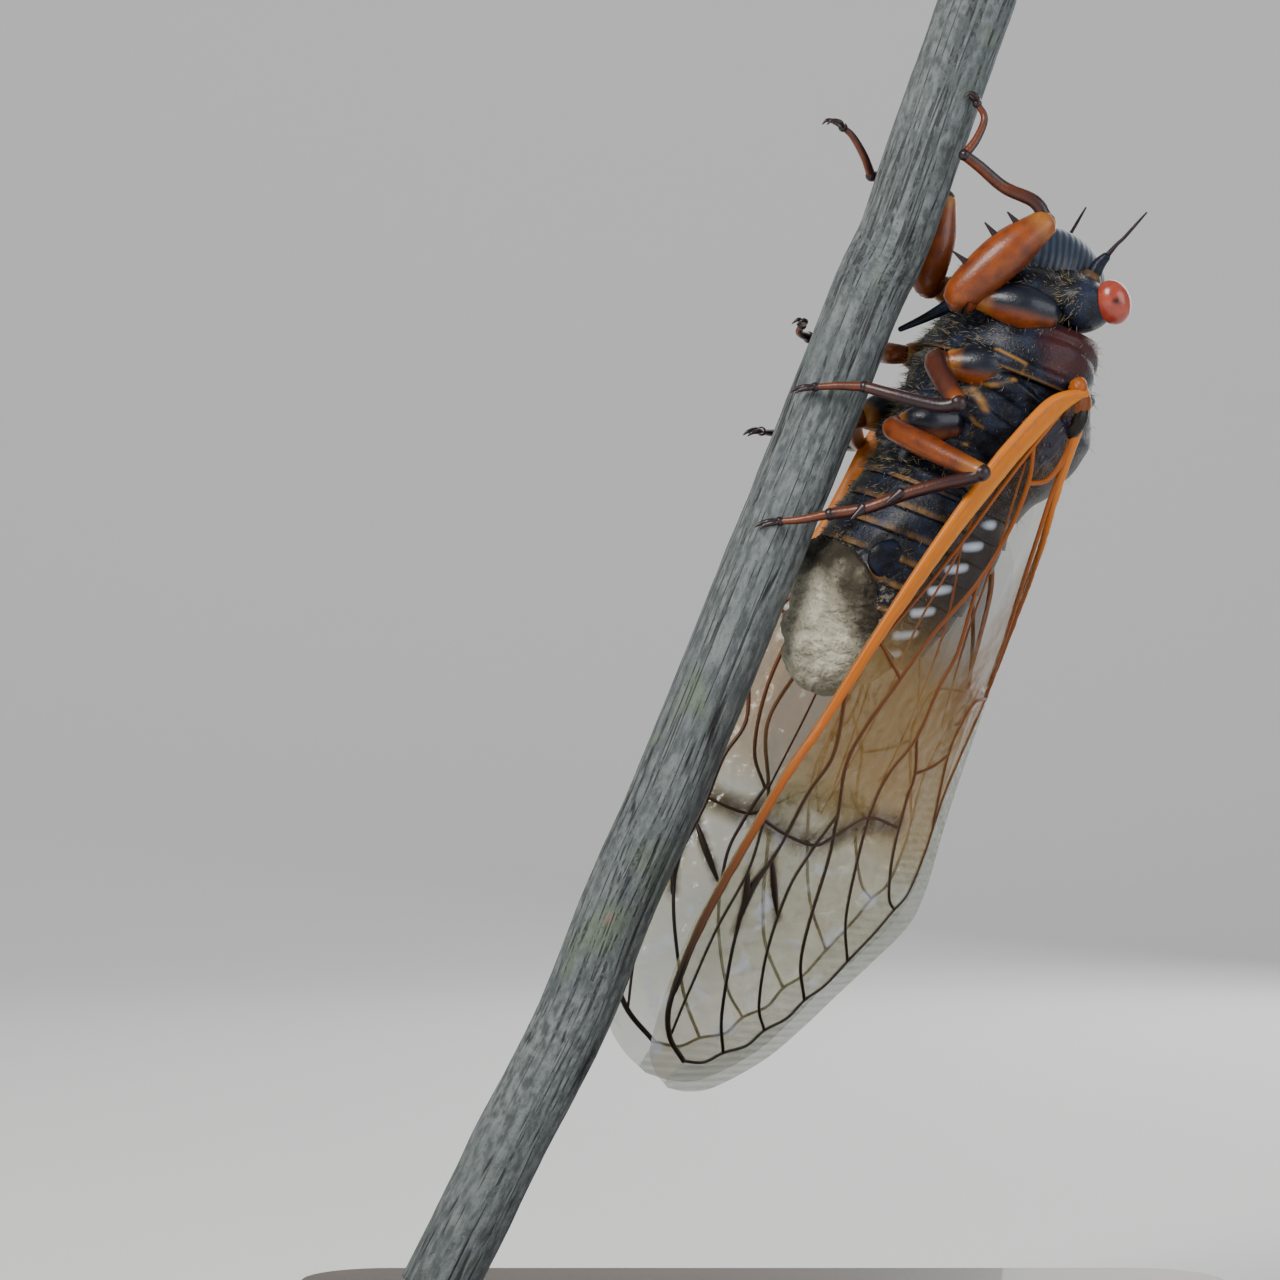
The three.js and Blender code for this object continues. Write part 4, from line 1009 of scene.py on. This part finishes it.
film = finish_of("amber film", membrane, IOR=1.45)
rib_finish = finish_of("wing ribs", vein_colour, Specular_IOR_Level=0.28)
for side, word in ((1, "left"), (-1, "right")):
    for kind, front, back, veins, inset in WINGS:
        ahead = kind == "forewing"
        rings, p, q = sheet_rings(front, back, inset, side, ahead)
        joined = skin if ahead else patch
        held = fore_marks(p, q) if ahead else dict.fromkeys(FILM_MARKS, 0.0)
        sheet = joined(to_floor(rings), p=p / WING_LENGTH, **held)
        made(f"{kind}_film_{word}", [sheet], film, [f"{kind}_{word}"])
        ribs = vein_skins(veins, inset, side)
        if ahead:
            ribs += vein_skins(DARK_STROKES, inset, side, 0.6)
            ribs.append(strap(COSTA if side > 0 else COSTA_FAR, inset, side, 0.24))
            ribs.append(strap(CLAVUS, inset, side, 0.15, 8))
            for at, half, age in KNUCKLES:
                ribs.append(body_skin(flipped(ball(at, half, 30, 40, 0.05, 5), side), age=age))
        made(f"{kind}_ribs_{word}", ribs, rib_finish, [f"{kind}_{word}"])

# %% [markdown]
# Legs are jointed rods: coxa, femur, tibia and a fine foot with two claws.
# Each follows the same joints as its solid, so the feet still meet the twig.

# %% Legs
MID_HIP = [[-0.3, 2.9, -0.9], [-0.8, 2.8, -2.3], [-1.2, 2.4, -3.7]]
HIND_HIP = [[-3.6, 2.8, -2.6], [-4.1, 2.7, -3.8], [-4.6, 2.3, -4.6]]
HIP_RADII = {"fore": [0.7, 1.0, 0.55], "mid": [0.8, 1.0, 0.55], "hind": [0.8, 0.9, 0.55]}
MID_THIGH = [0.42, 0.5, 0.5, 0.4]
HIND_THIGH = [0.45, 0.52, 0.54, 0.4]
LEGS = {
    "fore_left": dict(
        tone=0.2, hip=[[2.5, 3.5, -0.4], [2.3, 3.1, -1.8], [2.0, 2.4, -3.5]],
        thigh=[[2.0, 2.4, -3.6], [1.8, 2.4, -4.3], [4.2, 3.0, -3.3], [6.2, 3.4, -2.2]],
        thigh_radii=[0.5, 0.82, 1.02, 0.62],
        shin=[[6.8, 3.2, -3.0], [6.9, 2.7, -4.4], [7.3, 2.6, -5.8], [7.5, 2.6, -6.7]],
        foot=[[8.4, 2.5, -6.4], [9.4, 2.2, -6.3], [9.9, 2.0, -6.8]],
        spines=[[[3.0, 2.7, -4.1], [3.4, 2.5, -5.5]], [[4.5, 3.0, -3.5], [5.1, 2.8, -4.7]],
                [[5.4, 3.2, -2.9], [5.9, 3.1, -4.0]]]),
    "mid_left": dict(
        tone=0.85, hip=MID_HIP, thigh_radii=MID_THIGH,
        thigh=[[-1.2, 2.4, -3.8], [-1.4, 2.6, -4.4], [-2.2, 4.4, -4.4], [-3.0, 6.1, -4.1]],
        shin=[[-3.4, 5.6, -4.7], [-3.6, 3.8, -6.2], [-3.7, 2.9, -7.2]],
        foot=[[-4.1, 2.35, -8.2], [-4.5, 1.9, -9.0]]),
    "hind_left": dict(
        tone=0.4, hip=HIND_HIP, thigh_radii=HIND_THIGH,
        thigh=[[-4.6, 2.3, -4.6], [-4.9, 2.6, -5.0], [-5.2, 4.8, -4.0], [-5.5, 7.4, -2.4]],
        shin=[[-5.9, 7.1, -2.7], [-6.6, 5.9, -3.4], [-7.5, 4.8, -4.3], [-8.7, 3.8, -5.4], [-9.5, 3.1, -6.6]],
        foot=[[-10.2, 2.6, -7.6], [-10.6, 2.1, -8.3]],
        spines=[[[-7.5, 4.8, -4.5], [-8.2, 4.8, -5.0]], [[-8.7, 3.8, -5.5], [-9.4, 3.9, -5.9]]]),
    "fore_right": dict(
        tone=0.0, hip=[[2.5, -3.5, -0.4], [2.4, -3.1, -1.8], [2.2, -2.4, -3.5]],
        thigh=[[2.2, -2.4, -3.6], [2.3, -2.3, -4.2], [4.2, -2.6, -4.4], [6.1, -2.8, -4.6]],
        thigh_radii=[0.5, 0.75, 0.9, 0.46],
        shin=[[6.3, -2.7, -5.3], [5.9, -2.6, -7.0], [5.6, -2.3, -8.6]],
        foot=[[6.2, -1.9, -9.4], [6.8, -1.8, -10.3], [7.0, -1.8, -10.9]],
        spines=[[[3.0, -2.4, -4.6], [3.3, -2.4, -5.5]], [[4.6, -2.7, -4.8], [5.1, -2.7, -5.7]]]),
    "mid_right": dict(
        tone=0.2, hip=flipped(MID_HIP, -1), thigh_radii=MID_THIGH,
        thigh=[[-1.2, -2.4, -3.8], [-1.4, -2.7, -4.4], [-1.4, -4.4, -4.3], [-1.6, -5.6, -4.2]],
        shin=[[-1.7, -5.3, -4.8], [-1.9, -4.0, -6.4], [-2.2, -2.7, -8.4]],
        foot=[[-2.2, -2.2, -9.1], [-1.9, -1.7, -9.3]]),
    "hind_right": dict(
        tone=0.4, hip=flipped(HIND_HIP, -1), thigh_radii=HIND_THIGH,
        thigh=[[-4.6, -2.3, -4.6], [-4.9, -2.6, -5.0], [-5.2, -4.8, -4.0], [-5.5, -7.3, -2.5]],
        shin=[[-5.7, -7.0, -2.9], [-6.1, -5.4, -4.6], [-6.4, -3.6, -6.8]],
        foot=[[-6.7, -2.7, -8.0], [-6.9, -2.2, -8.7], [-7.0, -1.8, -9.2]],
        spines=[[[-6.2, -4.8, -5.4], [-6.9, -4.9, -5.8]], [[-6.4, -3.6, -7.0], [-7.1, -3.8, -7.3]]]),
}


def leg_amber(tree):
    """Dark amber with purple-brown along the upper edge, blue-black hips and black joints and claws."""
    blotch = grain(tree, 0.7, 4)
    fine = grain(tree, 0.12, 4)
    colour = painted(
        (0.3, 0.062, 0.003),
        (blotch.step(0.3, 0.75), (0.14, 0.024, 0.002)),
        (mark(tree, "dark"), (0.018, 0.006, 0.008)),
        (mark(tree, "blue"), (0.004, 0.006, 0.014)),
        (mark(tree, "pale") * blotch.step(0.3, 0.6), (0.46, 0.2, 0.03)))
    return {"Base Color": colour, "Roughness": 0.26 + blotch * 0.2, "Normal": bumped(tree, fine, 0.03, 0.6)}


leg_finish = finish_of("leg amber", leg_amber, Specular_IOR_Level=0.4, Coat_Weight=0.12, Coat_Roughness=0.12)


def rod(line, radii, around, low, high, ends, top=0.75):
    """A segment with its darkness set by height around it, from low below to high above, and by its ends."""
    rings = limb(line, radii, around)
    off_middle = np.abs(np.linspace(-1, 1, len(rings)))[:, None]
    over = np.clip(0.5 + top * np.sin(turns(around)), 0, 1)
    return rings, np.maximum(low + (high - low) * over, ends * np.clip(off_middle * 5 - 4, 0, 1))


def leg_skins(tone, hip, hip_radii, thigh, thigh_radii, shin, foot, spines=()):
    """Tapered rods for each segment, darker above and at the joints, thorns below, two hooked claws."""
    shin = [thigh[-1], *shin]
    foot = [shin[-1], *foot]
    rings = limb(hip, hip_radii, 40)
    ahead = rings[..., 0] - rings[..., 0].mean(1)[:, None]
    tip = np.clip(np.linspace(0, 1, len(rings)) * 4 - 3.1, 0, 1)[:, None]
    blue = (1 - tip) * np.clip(1.3 + 2.2 * ahead, 0, 1)
    parts = [body_skin(rings, blue=blue, pale=tip * 0.9, dark=0.2 - 0.2 * tip)]
    rings, dark = rod(thigh, thigh_radii, 32, tone * 0.9, min(1, tone + 0.3), 0.9)
    knee = np.clip(np.linspace(0, 1, len(rings)) * 9 - 7.6, 0, 1)[:, None]
    parts.append(body_skin(rings, dark=dark * (1 - 0.7 * knee), pale=knee * 0.7 * (1 - tone)))
    rings, dark = rod(shin, np.linspace(0.34, 0.25, len(shin)), 24, 0.2 + 0.3 * tone, 1.0, 1.0, 1.0)
    dark = np.clip(dark + np.linspace(0.75, 0.1 + 0.3 * tone, len(rings))[:, None], 0, 1)
    parts.append(body_skin(rings, dark=dark))
    rings, dark = rod(foot, np.linspace(0.22, 0.14, len(foot)), 18, 0.5, 1.0, 0.9)
    parts.append(body_skin(rings, dark=dark))
    knobs = ((thigh[-1], 0.4), (foot[0], 0.28), (foot[-1], 0.22))
    black = [ball(at, [size] * 3, 16, 20) for at, size in knobs]
    start = np.array(foot[-1])
    way = start - foot[-2]
    way = way / np.linalg.norm(way)
    for spread in (-0.3, 0.3):
        out = start + [0, spread, 0]
        bend, point = out + 0.6 * way + [-0.15, 0, -0.15], out + 0.55 * way + [-0.4, 0, -0.35]
        black.append(limb([start, out + 0.35 * way, bend, point], [0.14, 0.13, 0.09, 0.02]))
    black += [limb(line, [0.28, 0.04]) for line in spines]
    return parts + [body_skin(rings, dark=1.0) for rings in black]


for word, leg in LEGS.items():
    rods = leg_skins(hip_radii=HIP_RADII[word.split("_")[0]], **leg)
    made(f"leg_{word}_rods", rods, leg_finish, [f"leg_{word}"])

# %% [markdown]
# A thin golden down covers the cheeks, the flanks and the belly. Each hair is
# a closed spike of four points. Roots are picked at random from the points of
# a surface, more often where a weight is high, and lean back from its normal.

# %% Down
HAIR_RADIUS = 0.014
HAIR_LEAN = [-0.5, 0, -0.2]


def hairs(grid, weight, count, length, seed):
    """count spikes on a grid of points: three points round each root and one at the tip."""
    rng = np.random.default_rng(seed)
    normal = np.cross(np.gradient(grid, axis=0), np.roll(grid, -1, 1) - np.roll(grid, 1, 1)).reshape(-1, 3)
    normal /= np.linalg.norm(normal, axis=1, keepdims=True) + 1e-12
    points = grid.reshape(-1, 3)
    normal *= np.sign(((points - points.mean(0)) * normal).sum(1).mean())
    area = np.broadcast_to(weight, grid.shape[:2]).ravel()
    picked = rng.choice(len(points), count, p=area / area.sum())
    root = points[picked] + rng.normal(0, 0.03, (count, 3))
    way = normal[picked] + HAIR_LEAN + rng.normal(0, 0.28, (count, 3))
    way /= np.linalg.norm(way, axis=1, keepdims=True)
    tip = root + way * (length * rng.uniform(0.5, 1.2, count))[:, None]
    side = np.cross(way, [0.3, 0.5, 0.81])
    side *= HAIR_RADIUS / np.linalg.norm(side, axis=1, keepdims=True)
    other = np.cross(way, side)
    base = root - 0.03 * way
    corners = [base + side, base - 0.5 * side + 0.87 * other, base - 0.5 * side - 0.87 * other, tip]
    first = 4 * np.arange(count)[:, None]
    tris = np.concatenate([first + [0, 1, 3], first + [1, 2, 3], first + [2, 0, 3], first + [0, 2, 1]])
    return to_floor(np.stack(corners, 1).reshape(-1, 3)), np.zeros((0, 4), int), tris, {}


def down_colour(tree):
    """Pale gold."""
    return {"Base Color": (0.34, 0.27, 0.15, 1), "Roughness": 0.6}


down_finish = finish_of("golden down", down_colour)
cheek_weight = np.clip(0.6 - crown[..., 2], 0, 1) * np.clip(np.abs(crown[..., 1]) - 1.6, 0, 1)
coats = {
    "head": [hairs(crown, cheek_weight, 420, 0.5, 1)] + [hairs(g, 1.0, 420, 0.5, 2) for g in cheeks],
    "pronotum": [hairs(pro, low_down(pro, 0.15, 0.25, 0.08), 700, 0.45, 3)],
    "thorax": [hairs(tho, low_down(tho, -0.15, 0.3, 0.06), 1000, 0.5, 4)],
    "abdomen": [hairs(abd, low_down(abd, -0.3, 0.25, 0.03), 500, 0.3, 5)],
}
for word, tufts in coats.items():
    made(f"{word}_down", tufts, down_finish, [word])

# %% [markdown]
# The display stand is plain: a dark wooden base and a short brass pin.

# %% Stand
def dark_wood(tree):
    """Long soft stripes of grain in dark brown."""
    fibre = grain(tree, 1.2, 5, (0.12, 1, 1))
    colour = painted((0.028, 0.012, 0.006), (fibre.step(0.3, 0.7), (0.075, 0.032, 0.015)))
    return {"Base Color": colour, "Roughness": 0.35 + fibre * 0.15}


def brushed_brass(tree):
    """Warm yellow metal."""
    return {"Base Color": (0.72, 0.5, 0.2, 1), "Metallic": 1.0, "Roughness": 0.3}


wood = finish_of("dark wood", dark_wood, Coat_Weight=0.2)
brass = finish_of("brushed brass", brushed_brass)
for name, material in (("stand_base", wood), ("stand_rod", brass)):
    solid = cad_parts[name]
    solid.data.materials.clear()
    solid.data.materials.append(material)
    print(name, "painted")
